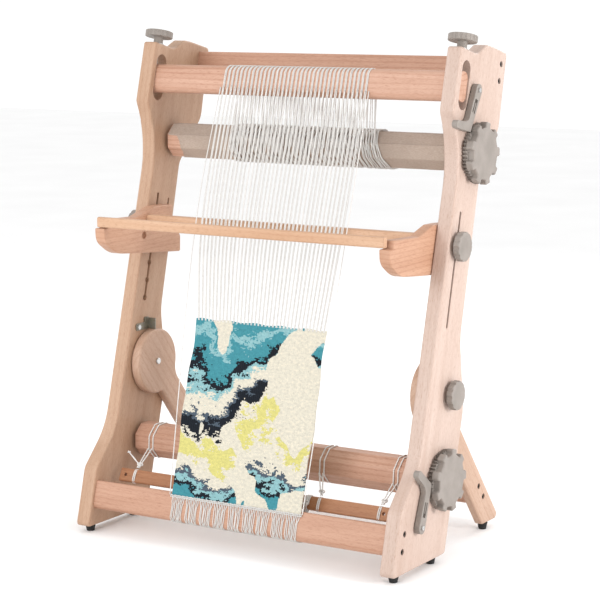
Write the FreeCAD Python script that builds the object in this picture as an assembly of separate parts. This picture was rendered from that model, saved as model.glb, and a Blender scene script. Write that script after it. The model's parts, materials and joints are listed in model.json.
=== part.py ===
"""Upright tapestry loom: two leaning side panels joined by rails, a warp roller at the top and a
cloth roller at the bottom with ratchet hand wheels, a screw-adjusted top beam, a sliding leash
carriage, a folding leg frame behind, and a tapestry on its warp.

Millimetres. X is the loom's width, Y runs from the weaver towards the back, Z is up.
The parts are laid out around the front feet, then moved so that the origin is at the
middle of the bounding box's bottom.
"""
import FreeCAD, Part
import math
import os
from FreeCAD import Vector

# ---- driving dimensions -------------------------------------------------------------------
OUTER_WIDTH = 759.0
STOCK = 32.0                 # thickness of the panels, crossbar and rail
RAIL_TALL = 59.0
LEAN = 13.8                  # the panels' lean, degrees from vertical
WARP_LEAN = 15.4             # the stretched warp's lean
FOOT_TALL = 14.0
OUT = OUTER_WIDTH / 2        # outer face of a panel
INN = OUT - STOCK            # inner face of a panel
MID = OUT - STOCK / 2
CLEAR = 0.3                  # between bodies that pass each other
RUNNING = 0.05               # radial clearance of a turning shaft

UPPER_AXIS = (296.0, 806.0)  # (y, z) of the warp roller
LOWER_AXIS = (165.0, 171.0)  # (y, z) of the cloth roller
ROLLER_END = 338.0
ROLLER_FLAT = 69.0           # across the octagon's flats
SPIGOT_R = 12.5
BUSH_WALL = 3.5
BUSH_FLANGE_R = 20.0
BUSH_FLANGE = 2.5
CARD = 1.5                   # cardboard round the warp roller
WOUND = 2.4                  # warp wound over the cardboard

CROSSBAR_MID = (12.6, 76.8)
RAIL_MID = (407.5, 961.0)
BOLT_SPACING = 34.5
BOLT_R = 3.0
BOLT_HEAD_R = 5.0
BOLT_HEAD = 6.0
BOLT_SUNK = 8.0
BOLT_REACH = 50.0            # into the rail's end
NUT_R = 5.0
NUT_BACK = 40.0              # barrel nut, from the rail's end
BOLT_GAP = 0.1
BOLT_SOCKET_R = 2.9
BOLT_SOCKET = 4.0
RECESS_R = 6.2               # sunk bolt head's recess
NUT_HALF = 10.0

BEAM_BELOW = 2.8             # beam's middle, down the slot from the slot's middle
BEAM_TALL = 60.0
BEAM_THICK = 33.0
BEAM_ROUND = 14.0
BEAM_SLOT_MID = (248.2, 941.7)
BEAM_SLOT_TALL = 98.5
BEAM_SLOT_WIDE = 35.0
TENON_SHY = 3.0              # tenon end, inside the panel's outer face
PANEL_TOP_FRONT = (236.0, 1018.0)
ROD_R = 4.0
ROD_ROOM = 0.6               # round the rod, in the beam's wood
ROD_DOWN = 82.0              # rod below the panel's top
INSERT_R = 7.0
INSERT_TOP = 28.5
INSERT_TALL = 18.0

KNOB_R = 29.5
KNOB_DISC = 13.0
KNOB_FLUTE_OUT = 0.6         # flute's centre outside the rim, as a share of its radius
KNOB_HUB_R = 10.0
TENSION_HUB = 13.5
SIDE_HUB = 6.5
WASHER = 1.5
WASHER_R = 12.0
TENSION_FLUTES = 20
SIDE_FLUTES = 12
KNOB_BORE_DEEP = 12.0

WHEEL_R = 63.0
WHEEL_LOBES = 9
LOBE_HALF = 9.0              # half a lobe's angle, degrees
LOBE_ROUND = 4.0
WHEEL_CORE_R = 52.5
WHEEL_GAP = 2.5              # ratchet ring, out from the panel
RING_END = 11.5
WHEEL_END = 26.0
WHEEL_EASE = 3.0
WHEEL_SOCKET = 18.0
PIN_R = 2.5
PIN_HALF = 20.0
PIN_OUT = 16.0
BLIND_BUSH = 24.0
TEETH = 48
TOOTH_TIP_R = 60.5
TOOTH_ROOT_R = 53.5
TOOTH_STEP = 360.0 / TEETH

PAWL_REACH = 125.0           # pawl pivot to wheel centre
PAWL_UPPER_FROM = 94.2       # direction from the wheel centre to the pivot, degrees from +Y
PAWL_LOWER_FROM = 216.4
PAWL_FACE = 40.0             # engaged tooth face, degrees round the wheel from that direction
PAWL_IN = 2.0
PAWL_OUT = 13.0
PAWL_END_R = 12.5
PAWL_ELBOW = (67.0, 45.0)    # towards the wheel's centre and to the side, from the pivot
PAWL_ELBOW_R = 9.0
PAWL_TAB = (55.0, 92.0)
PAWL_TAB_R = 8.0
PAWL_WEB_R = 20.0
PAWL_TOOTH = [(57.8, -2.4), (66.0, -1.6), (74.0, 2.0), (74.0, -10.0), (62.5, -7.5)]  # radius, degrees
SLIT_NEAR, SLIT_FAR = 20.0, 50.0         # spring slits, along the arm from the pivot
SLIT_APART = 3.4                         # from the arm's middle
SLIT_HALF = 1.9
SLIT_CROSS = 8.0                         # pocket that joins the slits
SLIT_FLOOR = 3.0
SLIT_ROUND = 1.5
SPRING_R = 1.1
SPRING_LEG = 9.0
SCREW_R = 2.5
SCREW_DEEP = 18.0

LEASH_BOLT = (222.0, 628.0)
LEASH_SLOT_TOP = 65.9        # slot centre line, up from the bolt
LEASH_SLOT_BOTTOM = 159.5    # and down from it
LEASH_SLOT_WIDE = 7.0
LEASH_BOLT_R = 3.0
LEASH_PIN_DOWN = 38.0
LEASH_PIN_DEEP = 12.0
LEASH_PIN_REACH = 18.0
BRACKET_IN = 322.5
BRACKET_OUT = INN - 0.5
INDEX_LOWEST = 474.0         # z of the lowest index recess beside the leash slot
INDEX_STEP = 37.0
INDEX_COUNT = 5
INDEX_R = 6.5
INDEX_DEEP = 9.0
PEG_GROOVE_MID = (269.5, 652.0)
PEG_GROOVE_WIDE = 5.0
PEG_GROOVE_TALL = 60.0
PEG_GROOVE_DEEP = 6.0
BRACKET_FLOOR = 7.0
BRACKET_HOLE = (150.0, 613.5)
BRACKET_HOLE_R = 8.0
BRACKET_HOLE_DEEP = 6.0
FRONT_BAR = (10.0, 664.0, 14.0, 21.0)    # front y, top z, depth, height
FRONT_BAR_LEFT, FRONT_BAR_RIGHT = -340.0, 333.0
SHED_BAR = (158.5, 656.0, 20.0, 20.0)

LEG_PIVOT = (200.0, 335.0)
LEG_DISC_R = 70.0
LEG_WIDE = 60.0
LEG_TILT = 39.4              # leg from vertical, sloping to the back
LEG_THICK = 21.0
LEG_OUT = INN - 0.5
LEG_IN = LEG_OUT - LEG_THICK
LEG_BAR_MID = (413.0, 88.5)
LEG_FOOT_Y = 443.0
LEG_BOLT_R = 4.0
LEG_BLEND = 40.0              # fillets between a leg and its round head
LEG_NOOK = 8.0
PIVOT_HEAD_R = 7.0
PIVOT_HEAD = 3.0
LATCH_SCREW = (158.0, 413.0)
LATCH_SHEET = 2.0
LATCH_FRONT = 9.0
LATCH_BACK = 37.0
LATCH_LOW = 7.5
LATCH_HIGH = 8.0
LATCH_TAB_WIDE = 16.0
LATCH_TAB_TOP = 19.0
LATCH_LIP_TALL = 24.0

STICK_MID = (62.0, 113.0)
STICK_LEAN = 27.0            # stick's width from vertical
STICK_WIDE = 28.0
STICK_THICK = 10.0
STICK_END = 325.0
STICK_HOLE_R = 3.5
STICK_HOLE_IN = 14.0         # hole's centre from the stick's end
CORD = 3.0
TIE_PLACES = (-292.0, -100.0, 146.0, 299.0)

WARP_LEFT, WARP_RIGHT = -176.0, 178.0
CLOTH_LEFT, CLOTH_RIGHT = -157.0, 157.0
WOUND_LEFT, WOUND_RIGHT = -180.0, 193.0
CLOTH_LOW = 24.0
CLOTH_TALL = 368.0
CLOTH_THICK = 3.0
CLOTH_OFF = 0.4              # cloth's back, out from the crossbar's face
WARP_THICK = 1.2
WARP_OFF = 1.2               # warp's mid plane, out from the face that it lies on
WARP_TOP = 838.0             # front warp's top, up from the crossbar's middle
BEAM_WARP_LOW = -22.0        # foot of the warp on the beam, from the beam's middle
BACK_WARP = [(259.0, 886.0), (258.0, 853.0)]


# ---- plane geometry, in (y, z) ---------------------------------------------------------------
def along(lean):
    """Unit vector up a line that leans back by `lean` degrees."""
    return math.sin(math.radians(lean)), math.cos(math.radians(lean))


def leaned(middle, across, up, lean):
    """Point `across` in front of and `up` along a leaning line through `middle`."""
    dy, dz = along(lean)
    return middle[0] - across * dz + up * dy, middle[1] + across * dy + up * dz


def polar(middle, radius, degrees):
    """Point at `degrees` from +Y, turning towards +Z."""
    angle = math.radians(degrees)
    return middle[0] + radius * math.cos(angle), middle[1] + radius * math.sin(angle)


def flat_point(point, x=0.0):
    return Vector(x, point[0], point[1])


def outline(corners, x=0.0):
    """Closed wire through (y, z, radius) corners, each rounded by a tangent arc."""
    ends, arcs = [], []
    count = len(corners)
    for i, (y, z, radius) in enumerate(corners):
        here = Vector(x, y, z)
        before = (flat_point(corners[i - 1], x) - here).normalize()
        after = (flat_point(corners[(i + 1) % count], x) - here).normalize()
        half = before.getAngle(after) / 2
        reach = radius / math.tan(half) if radius else 0.0
        start, end = here + before * reach, here + after * reach
        ends.append((start, end))
        if radius:
            inward = (before + after).normalize()
            crown = here + inward * (radius / math.sin(half) - radius)
            arcs.append(Part.Arc(start, crown, end).toShape())
        else:
            arcs.append(None)
    edges = []
    for i in range(count):
        if arcs[i]:
            edges.append(arcs[i])
        start, end = ends[i][1], ends[(i + 1) % count][0]
        if start.distanceToPoint(end) > 1e-4:
            edges.append(Part.makeLine(start, end))
    return Part.Wire(edges)


def plate(corners, x0, x1):
    """Outline extruded along X."""
    return Part.Face(outline(corners, x0)).extrude(Vector(x1 - x0, 0, 0))


def leaning_box(middle, thick, tall, lean, radii, x0, x1):
    """Bar along X with a leaning section; radii go front bottom, front top, back top, back bottom."""
    places = [(thick / 2, -tall / 2), (thick / 2, tall / 2), (-thick / 2, tall / 2), (-thick / 2, -tall / 2)]
    corners = [leaned(middle, across, up, lean) + (radius,)
               for (across, up), radius in zip(places, radii)]
    return plate(corners, x0, x1)


def slot(middle, wide, tall, lean, x0, x1):
    """Round-ended slot cutter along X."""
    return leaning_box(middle, wide, tall, lean, [wide / 2] * 4, x0, x1)


def octagon(middle, flat, x0, x1):
    radius = flat / 2 / math.cos(math.pi / 8)
    corners = [polar(middle, radius, 22.5 + 45 * i) + (0,) for i in range(8)]
    return plate(corners, x0, x1)


def ribbon(points, thick, x0, x1):
    """Thin sheet along X that follows (y, z) points, mitred at its bends."""
    sides = ([], [])
    for i, (y, z) in enumerate(points):
        steps = []
        for a, b in ((i - 1, i), (i, i + 1)):
            if 0 <= a and b < len(points):
                step = Vector(points[b][0] - points[a][0], points[b][1] - points[a][1], 0)
                steps.append(step.normalize())
        mean = (steps[0] + steps[-1]).normalize()
        out = thick / 2 / mean.dot(steps[0])
        sides[0].append((y - mean.y * out, z + mean.x * out, 0))
        sides[1].append((y + mean.y * out, z - mean.x * out, 0))
    return plate(sides[0] + sides[1][::-1], x0, x1)


# ---- solids -------------------------------------------------------------------------------
def rod_x(point, radius, x0, x1):
    return Part.makeCylinder(radius, x1 - x0, flat_point(point, x0), Vector(1, 0, 0))


def rod_leaning(x, point, radius, up0, up1, lean):
    """Cylinder along the lean, from up0 to up1 above `point`."""
    dy, dz = along(lean)
    base = Vector(x, point[0] + up0 * dy, point[1] + up0 * dz)
    return Part.makeCylinder(radius, up1 - up0, base, Vector(0, dy, dz))


def rod_between(start, end, radius):
    return Part.makeCylinder(radius, start.distanceToPoint(end), start, end - start)


def fused(shapes):
    return shapes[0].multiFuse(shapes[1:]).removeSplitter() if len(shapes) > 1 else shapes[0]


def cut_all(shape, tools):
    return shape.cut(Part.makeCompound(tools))


def eased(shape, radius, faces_x):
    """Round the edges of the flat faces at the given x."""
    edges = []
    for edge in shape.Edges:
        box = edge.BoundBox
        if any(abs(box.XMin - x) < 1e-3 and abs(box.XMax - x) < 1e-3 for x in faces_x):
            edges.append(edge)
    return shape.makeFillet(radius, edges)


def mirrored(shape):
    return shape.mirror(Vector(0, 0, 0), Vector(1, 0, 0))


def both_sides(shape):
    return [shape, mirrored(shape)]


BEAM_MID = leaned(BEAM_SLOT_MID, 0, -BEAM_BELOW, LEAN)

# ---- frame ----------------------------------------------------------------------------------
PANEL_CORNERS = [
    PANEL_TOP_FRONT + (5,), (203, 893, 14), (236, 808, 220), (77, 210, 150), (3.5, 135, 35),
    (-28, FOOT_TALL, 8), (187, FOOT_TALL, 6), (263, 296, 70), (245.5, 440, 120), (321, 754, 40),
    (406, 848, 45), (439, 999, 8), (368, 1015, 26), (346, 1018, 16), (307, 1000.6, 40),
]


def panel_top_on_slot():
    """Where the beam slot's centre line meets the panel's flat top."""
    dy, dz = along(LEAN)
    ry, rz = BEAM_SLOT_MID[0] - PANEL_TOP_FRONT[0], BEAM_SLOT_MID[1] - PANEL_TOP_FRONT[1]
    across = ry * dz - rz * dy
    return PANEL_TOP_FRONT[0] + across * dz, PANEL_TOP_FRONT[1] - across * dy


def leash_point(up):
    return leaned(LEASH_BOLT, 0, up, LEAN)


def bolt_points(middle, lean):
    return [leaned(middle, 0, up, lean) for up in (-BOLT_SPACING / 2, BOLT_SPACING / 2)]


def panel_blank():
    ease = 4.0
    shape = eased(plate(PANEL_CORNERS, INN, OUT), ease, (INN, OUT))
    slot_mid = leash_point((LEASH_SLOT_TOP - LEASH_SLOT_BOTTOM) / 2)
    slot_tall = LEASH_SLOT_TOP + LEASH_SLOT_BOTTOM + LEASH_SLOT_WIDE
    spare = 1.0
    tools = [
        slot(BEAM_SLOT_MID, BEAM_SLOT_WIDE, BEAM_SLOT_TALL, LEAN, INN - spare, OUT + spare),
        slot(slot_mid, LEASH_SLOT_WIDE, slot_tall, LEAN, INN - spare, OUT + spare),
    ]
    for i in range(INDEX_COUNT):
        drop = INDEX_LOWEST + INDEX_STEP * i - LEASH_BOLT[1]
        point = leash_point(drop / math.cos(math.radians(LEAN)))
        tools.append(rod_x(point, INDEX_R, INN - spare, INN + INDEX_DEEP))
    tools.append(slot(PEG_GROOVE_MID, PEG_GROOVE_WIDE, PEG_GROOVE_TALL, LEAN, INN - spare,
                      INN + PEG_GROOVE_DEEP))
    for middle, lean in ((CROSSBAR_MID, WARP_LEAN), (RAIL_MID, LEAN)):
        for point in bolt_points(middle, lean):
            tools.append(rod_x(point, BOLT_R + BOLT_GAP, INN - spare, OUT + spare))
            tools.append(rod_x(point, RECESS_R, OUT - BOLT_SUNK, OUT + spare))
    tools.append(rod_x(LEG_PIVOT, LEG_BOLT_R + BOLT_GAP, INN - spare, OUT + spare))
    tools.append(rod_leaning(MID, panel_top_on_slot(), ROD_R + RUNNING, -40, spare, LEAN))
    return shape, tools


def pawl_pivots():
    return (polar(UPPER_AXIS, PAWL_REACH, PAWL_UPPER_FROM), polar(LOWER_AXIS, PAWL_REACH, PAWL_LOWER_FROM))


def side_panel_right():
    shape, tools = panel_blank()
    for axis in (UPPER_AXIS, LOWER_AXIS):
        tools.append(rod_x(axis, SPIGOT_R + BUSH_WALL, INN - 1, OUT + 1))
    for pivot in pawl_pivots():
        tools.append(rod_x(pivot, SCREW_R, OUT - SCREW_DEEP, OUT + 1))
    tools.append(rod_x(LATCH_SCREW, SCREW_R, INN - 1, INN + SCREW_DEEP))
    return cut_all(shape, tools)


def side_panel_left():
    shape, tools = panel_blank()
    for axis in (UPPER_AXIS, LOWER_AXIS):
        tools.append(rod_x(axis, SPIGOT_R + BUSH_WALL, INN - 1, INN + BLIND_BUSH))
    tools.append(rod_x(LATCH_SCREW, SCREW_R, INN - 1, INN + SCREW_DEEP))
    return mirrored(cut_all(shape, tools))


def rail(middle, lean, end, radii):
    """Rail between the panels or legs, with bolt holes and barrel nut holes in its ends."""
    shape = leaning_box(middle, STOCK, RAIL_TALL, lean, radii, -end, end)
    tools = []
    dy, dz = along(lean)
    for point in bolt_points(middle, lean):
        drill = rod_x(point, BOLT_R + BOLT_GAP, end - BOLT_REACH - 1, end + 1)
        back = Vector(end - NUT_BACK, point[0] + STOCK * dz, point[1] - STOCK * dy)
        nut = Part.makeCylinder(NUT_R + BOLT_GAP, STOCK + 10, back, Vector(0, -dz, dy))
        tools += both_sides(drill) + both_sides(nut)
    return cut_all(shape, tools)


def rail_bolts(middle, lean, face, end):
    """Socket-head bolts, heads sunk below `face`, into the rail that ends at `end`."""
    bolts = []
    for point in bolt_points(middle, lean):
        head = rod_x(point, BOLT_HEAD_R, face - BOLT_SUNK, face - BOLT_SUNK + BOLT_HEAD)
        shank = rod_x(point, BOLT_R, end - BOLT_REACH, face - BOLT_SUNK)
        hexagon = [polar(point, BOLT_SOCKET_R, 60 * i) + (0,) for i in range(6)]
        top = face - BOLT_SUNK + BOLT_HEAD
        bolts += both_sides(fused([head, shank]).cut(plate(hexagon, top - BOLT_SOCKET, top + 1)))
    return bolts


def barrel_nuts(middle, lean, end):
    """Cross dowels that the rail bolts screw into."""
    nuts = []
    dy, dz = along(lean)
    for point in bolt_points(middle, lean):
        base = Vector(end - NUT_BACK, point[0] + NUT_HALF * dz, point[1] - NUT_HALF * dy)
        nut = Part.makeCylinder(NUT_R, 2 * NUT_HALF, base, Vector(0, -dz, dy))
        bore = rod_x(point, BOLT_R + BOLT_GAP, end - NUT_BACK - 2 * NUT_R, end - NUT_BACK + 2 * NUT_R)
        nuts += both_sides(nut.cut(bore))
    return nuts


def foot(x, y):
    """Tapered rubber foot."""
    return Part.makeCone(8.0, 11.0, FOOT_TALL, Vector(x, y, 0), Vector(0, 0, 1))


def panel_feet():
    front, back = 2.0, 154.0
    return [foot(side * MID, y) for side in (-1, 1) for y in (front, back)]


def bush(axis, depth):
    body = rod_x(axis, SPIGOT_R + BUSH_WALL, INN, INN + depth)
    flange = rod_x(axis, BUSH_FLANGE_R, INN - BUSH_FLANGE, INN)
    bore = rod_x(axis, SPIGOT_R + RUNNING, INN - BUSH_FLANGE - 1, INN + depth + 1)
    return fused([body, flange]).cut(bore)


def roller_bushes():
    bushes = []
    for axis in (UPPER_AXIS, LOWER_AXIS):
        bushes += [bush(axis, STOCK), mirrored(bush(axis, BLIND_BUSH - 1))]
    return bushes


# ---- top beam and its screws -----------------------------------------------------------------
def top_beam():
    end = OUT - TENON_SHY
    shape = leaning_box(BEAM_MID, BEAM_THICK, BEAM_TALL, LEAN, [BEAM_ROUND] * 4, -end, end)
    tools = []
    for side in (-1, 1):
        tools.append(rod_leaning(side * MID, BEAM_MID, ROD_R + ROD_ROOM, -BEAM_TALL, BEAM_TALL, LEAN))
        tools.append(rod_leaning(side * MID, BEAM_MID, INSERT_R, INSERT_TOP - INSERT_TALL, BEAM_TALL, LEAN))
    return cut_all(shape, tools)


def beam_thread_inserts():
    inserts = []
    for side in (-1, 1):
        low = INSERT_TOP - INSERT_TALL
        tube = rod_leaning(side * MID, BEAM_MID, INSERT_R, low, INSERT_TOP, LEAN)
        bore = rod_leaning(side * MID, BEAM_MID, ROD_R + RUNNING, low - 1, INSERT_TOP + 1, LEAN)
        inserts.append(tube.cut(bore))
    return inserts


def knob(bore_r, hub_tall, flute_count):
    """Fluted knob standing on the origin, its axis along +Z."""
    hub = Part.makeCylinder(KNOB_HUB_R, hub_tall)
    disc = Part.makeCylinder(KNOB_R, KNOB_DISC, Vector(0, 0, hub_tall))
    rim = [edge for edge in disc.Edges if edge.Curve.TypeId == "Part::GeomCircle"]
    shape = fused([hub, disc.makeFillet(1.5, rim)])
    flute_r = 2 * math.pi * KNOB_R / flute_count / 3
    flute_away = KNOB_R + flute_r * KNOB_FLUTE_OUT
    flutes = []
    for i in range(flute_count):
        angle = 2 * math.pi / flute_count * i
        base = Vector(flute_away * math.cos(angle), flute_away * math.sin(angle), 0)
        flutes.append(Part.makeCylinder(flute_r, hub_tall + KNOB_DISC + 1, base))
    flutes.append(Part.makeCylinder(bore_r, KNOB_BORE_DEEP + RUNNING))
    return cut_all(shape, flutes)


def stand_on(shape, base, direction):
    """Turn a shape from +Z to `direction` and move its origin to `base`."""
    turn = FreeCAD.Rotation(Vector(0, 0, 1), direction)
    shape = shape.copy()
    shape.Placement = FreeCAD.Placement(base, turn)
    return Part.makeCompound([shape]).Solids[0]


def tension_knob(side):
    dy, dz = along(LEAN)
    point = leaned(panel_top_on_slot(), 0, WASHER + CLEAR, LEAN)
    shape = knob(ROD_R, TENSION_HUB, TENSION_FLUTES)
    return stand_on(shape, flat_point(point, side * MID), Vector(0, dy, dz))


def tension_rod(side):
    top = WASHER + CLEAR + KNOB_BORE_DEEP
    return rod_leaning(side * MID, panel_top_on_slot(), ROD_R, -ROD_DOWN, top, LEAN)


def tension_washers():
    washers = []
    for side in (-1, 1):
        disc = rod_leaning(side * MID, panel_top_on_slot(), WASHER_R, RUNNING, WASHER, LEAN)
        bore = rod_leaning(side * MID, panel_top_on_slot(), ROD_R + RUNNING, -1, WASHER + 1, LEAN)
        washers.append(disc.cut(bore))
    return washers


# ---- rollers, hand wheels and pawls ------------------------------------------------------------
def roller_core(axis):
    left_spigot = BLIND_BUSH - 3
    body = octagon(axis, ROLLER_FLAT, -ROLLER_END, ROLLER_END)
    left = rod_x(axis, SPIGOT_R, -INN - left_spigot, -ROLLER_END)
    right = rod_x(axis, SPIGOT_R, ROLLER_END, OUT + WHEEL_SOCKET)
    return fused([body, left, right]).cut(wheel_pin(axis, PIN_R))


def wheel_pin(axis, radius):
    base = Vector(OUT + PIN_OUT, axis[0], axis[1] - PIN_HALF)
    return Part.makeCylinder(radius, 2 * PIN_HALF, base, Vector(0, 0, 1))


def ratchet_wheel(axis, face_at, turn):
    """Lobed hand wheel with a sawtooth ring behind it; a tooth face stands at `face_at` degrees,
    and the teeth rise away from it against `turn`."""
    teeth = []
    for i in range(TEETH):
        angle = face_at + turn * TOOTH_STEP * i
        teeth.append(polar(axis, TOOTH_ROOT_R, angle) + (0,))
        teeth.append(polar(axis, TOOTH_TIP_R, angle) + (0,))
    ring = plate(teeth, OUT + WHEEL_GAP, OUT + RING_END)
    rim = []
    for i in range(WHEEL_LOBES):
        middle = 360 / WHEEL_LOBES * i
        for radius, offset in ((WHEEL_CORE_R, -LOBE_HALF), (WHEEL_R, -LOBE_HALF),
                               (WHEEL_R, LOBE_HALF), (WHEEL_CORE_R, LOBE_HALF)):
            rim.append(polar(axis, radius, middle + offset) + (LOBE_ROUND,))
    cap = eased(plate(rim, OUT + RING_END, OUT + WHEEL_END), WHEEL_EASE, (OUT + WHEEL_END,))
    socket = rod_x(axis, SPIGOT_R, OUT + WHEEL_GAP - 1, OUT + WHEEL_SOCKET)
    return cut_all(fused([ring, cap]), [socket, wheel_pin(axis, PIN_R)])


def cardboard_wrap():
    inner, left_end = ROLLER_FLAT + 0.2, -ROLLER_END
    outer = octagon(UPPER_AXIS, inner + 2 * CARD, left_end, ROLLER_END - 2)
    return outer.cut(octagon(UPPER_AXIS, inner, left_end - 1, ROLLER_END))


def wound_warp():
    inner = ROLLER_FLAT + 2 * CARD + 0.4
    outer = octagon(UPPER_AXIS, inner + 2 * WOUND, WOUND_LEFT, WOUND_RIGHT)
    return outer.cut(octagon(UPPER_AXIS, inner, WOUND_LEFT - 1, WOUND_RIGHT + 1))


def pawl_frame(axis, pivot_from, hand):
    """Function from a pawl's own (u, v) to (y, z). u runs from its pivot towards the wheel's
    centre. hand is +1 where its tooth lies further anticlockwise round the wheel, -1 clockwise."""
    pivot = polar(axis, PAWL_REACH, pivot_from)
    inward = math.radians(pivot_from + 180)
    uy, uz = math.cos(inward), math.sin(inward)

    def local(u, v):
        return pivot[0] + u * uy + v * hand * uz, pivot[1] + u * uz - v * hand * uy
    return local


def pawl_plate(local, corners, x0=OUT + PAWL_IN, x1=OUT + PAWL_OUT):
    """Plate through a pawl's (u, v, radius) corners."""
    return plate([local(u, v) + (radius,) for u, v, radius in corners], x0, x1)


def pawl_disc(local, centre, radius, spare=0.0):
    return rod_x(local(*centre), radius, OUT + PAWL_IN - spare, OUT + PAWL_OUT + spare)


def pawl_link(local, a, r_a, b, r_b):
    """Tapered round-ended link between two of a pawl's points."""
    slope = math.asin((r_a - r_b) / math.dist(a, b))
    heading = math.atan2(b[1] - a[1], b[0] - a[0])
    corners = []
    for centre, radius, side in ((a, r_a, 1), (a, r_a, -1), (b, r_b, -1), (b, r_b, 1)):
        angle = math.degrees(heading + side * (math.pi / 2 - slope))
        corners.append(polar(centre, radius, angle) + (0,))
    return [pawl_plate(local, corners), pawl_disc(local, a, r_a), pawl_disc(local, b, r_b)]


def pawl_web(local):
    """Hollow-curved fill inside the elbow."""
    back = math.degrees(math.atan2(-PAWL_ELBOW[1], -PAWL_ELBOW[0])) % 360
    ahead = math.degrees(math.atan2(PAWL_TAB[1] - PAWL_ELBOW[1], PAWL_TAB[0] - PAWL_ELBOW[0]))
    half = (back - ahead) / 2
    away = PAWL_ELBOW_R + PAWL_WEB_R
    hollow = polar(PAWL_ELBOW, away / math.sin(math.radians(half)), ahead + half)
    touch = away / math.tan(math.radians(half))
    corners = [PAWL_ELBOW, polar(PAWL_ELBOW, touch, back), hollow, polar(PAWL_ELBOW, touch, ahead)]
    web = pawl_plate(local, [corner + (0,) for corner in corners])
    return web.cut(pawl_disc(local, hollow, PAWL_WEB_R, 1))


def on_arm(u, v):
    """A pawl's (u, v) for a point `u` down its arm from the pivot and `v` to the side."""
    heading = math.atan2(PAWL_ELBOW[1], PAWL_ELBOW[0])
    return (u * math.cos(heading) - v * math.sin(heading),
            u * math.sin(heading) + v * math.cos(heading))


def arm_pocket(local, u0, u1, v0, v1):
    corners = [on_arm(u, v) + (SLIT_ROUND,) for u, v in ((u0, v0), (u1, v0), (u1, v1), (u0, v1))]
    return pawl_plate(local, corners, OUT + PAWL_IN + SLIT_FLOOR, OUT + PAWL_OUT + 1)


def pawl(axis, pivot_from, hand):
    """Pawl with two spring slits, joined by a pocket, in its arm."""
    local = pawl_frame(axis, pivot_from, hand)
    pivot = (0.0, 0.0)
    arm = pawl_link(local, pivot, PAWL_END_R, PAWL_ELBOW, PAWL_ELBOW_R)
    tab = pawl_link(local, PAWL_ELBOW, PAWL_ELBOW_R, PAWL_TAB, PAWL_TAB_R)
    tooth = [polar(axis, radius, pivot_from + hand * (PAWL_FACE + degrees)) + (0,)
             for radius, degrees in PAWL_TOOTH]
    tooth = plate(tooth, OUT + WHEEL_GAP + 0.5, OUT + RING_END - 1)
    wall = SLIT_APART + SLIT_HALF
    tools = [
        rod_x(local(*pivot), SCREW_R + RUNNING, OUT, OUT + PAWL_OUT + 1),
        arm_pocket(local, SLIT_NEAR, SLIT_NEAR + SLIT_CROSS, -wall, wall),
        arm_pocket(local, SLIT_NEAR, SLIT_FAR, -wall, SLIT_HALF - SLIT_APART),
        arm_pocket(local, SLIT_NEAR, SLIT_FAR, SLIT_APART - SLIT_HALF, wall),
    ]
    return cut_all(fused(arm + tab + [pawl_web(local), tooth]), tools)


def pawl_spring(axis, pivot_from, hand):
    """Hairpin spring in the slits, its bend across the pocket."""
    local = pawl_frame(axis, pivot_from, hand)
    height = OUT + PAWL_IN + SLIT_FLOOR + SPRING_R + CLEAR
    bend = SLIT_NEAR + SLIT_HALF

    def at(u, v):
        return flat_point(local(*on_arm(u, v)), height)
    bends = [at(bend, -SLIT_APART), at(bend, SLIT_APART)]
    legs = [rod_between(at(bend, v), at(bend + SPRING_LEG, v), SPRING_R) for v in (-SLIT_APART, SLIT_APART)]
    balls = [Part.makeSphere(SPRING_R, point) for point in bends]
    return fused([rod_between(bends[0], bends[1], SPRING_R)] + legs + balls)


def pawl_screws():
    screws = []
    head_r, head = 4.5, 2.5
    for pivot in pawl_pivots():
        shank = rod_x(pivot, SCREW_R, OUT - SCREW_DEEP, OUT + PAWL_OUT + CLEAR)
        top = OUT + PAWL_OUT + CLEAR
        slit = Part.makeBox(2, 12, 1, Vector(top + head - 1, pivot[0] - 6, pivot[1] - 0.5))
        screws.append(fused([shank, rod_x(pivot, head_r, top, top + head)]).cut(slit))
    return screws


# ---- leash carriage ------------------------------------------------------------------------
BRACKET_CORNERS = [
    (10, 641, 3), (12, 612, 28), (55, 584, 80), (130, 577, 60), (284, 565, 4), (285, 599, 8),
    (255, 643, 8), (256, 669, 4), (220, 671, 30), (187, 671, 30), (128, 654, 30), (28.5, 657, 3),
    (25.5, 641, 1.5),
]


def leash_bracket():
    shape = eased(plate(BRACKET_CORNERS, BRACKET_IN, BRACKET_OUT), 3.0, (BRACKET_IN, BRACKET_OUT))
    seat_front, seat_top, seat_deep, seat_tall = FRONT_BAR
    seat = Part.makeBox(BRACKET_OUT - BRACKET_IN, seat_deep + CLEAR, seat_tall,
                        Vector(BRACKET_IN, seat_front - CLEAR, seat_top - seat_tall))
    hole = rod_x(BRACKET_HOLE, BRACKET_HOLE_R, BRACKET_IN - 1, BRACKET_IN + BRACKET_HOLE_DEEP)
    bolt_hole = rod_x(LEASH_BOLT, LEASH_BOLT_R, BRACKET_IN + BRACKET_FLOOR, BRACKET_OUT + 1)
    pin_at = leash_point(-LEASH_PIN_DOWN)
    pin_hole = rod_x(pin_at, LEASH_BOLT_R, BRACKET_OUT - LEASH_PIN_DEEP, BRACKET_OUT + 1)
    return cut_all(shape, [seat, hole, bolt_hole, pin_hole])


def square_bar(section, left, right, radius=4.0):
    front, top, deep, tall = section
    corners = [(front, top - tall, radius), (front, top, radius),
               (front + deep, top, radius), (front + deep, top - tall, radius)]
    return plate(corners, left, right)


def leash_studs():
    return both_sides(rod_x(LEASH_BOLT, LEASH_BOLT_R, BRACKET_IN + BRACKET_FLOOR, OUT + KNOB_BORE_DEEP))


def leash_guide_pins():
    start, end = BRACKET_OUT - LEASH_PIN_DEEP, INN + LEASH_PIN_REACH
    return both_sides(rod_x(leash_point(-LEASH_PIN_DOWN), LEASH_BOLT_R, start, end))


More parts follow.
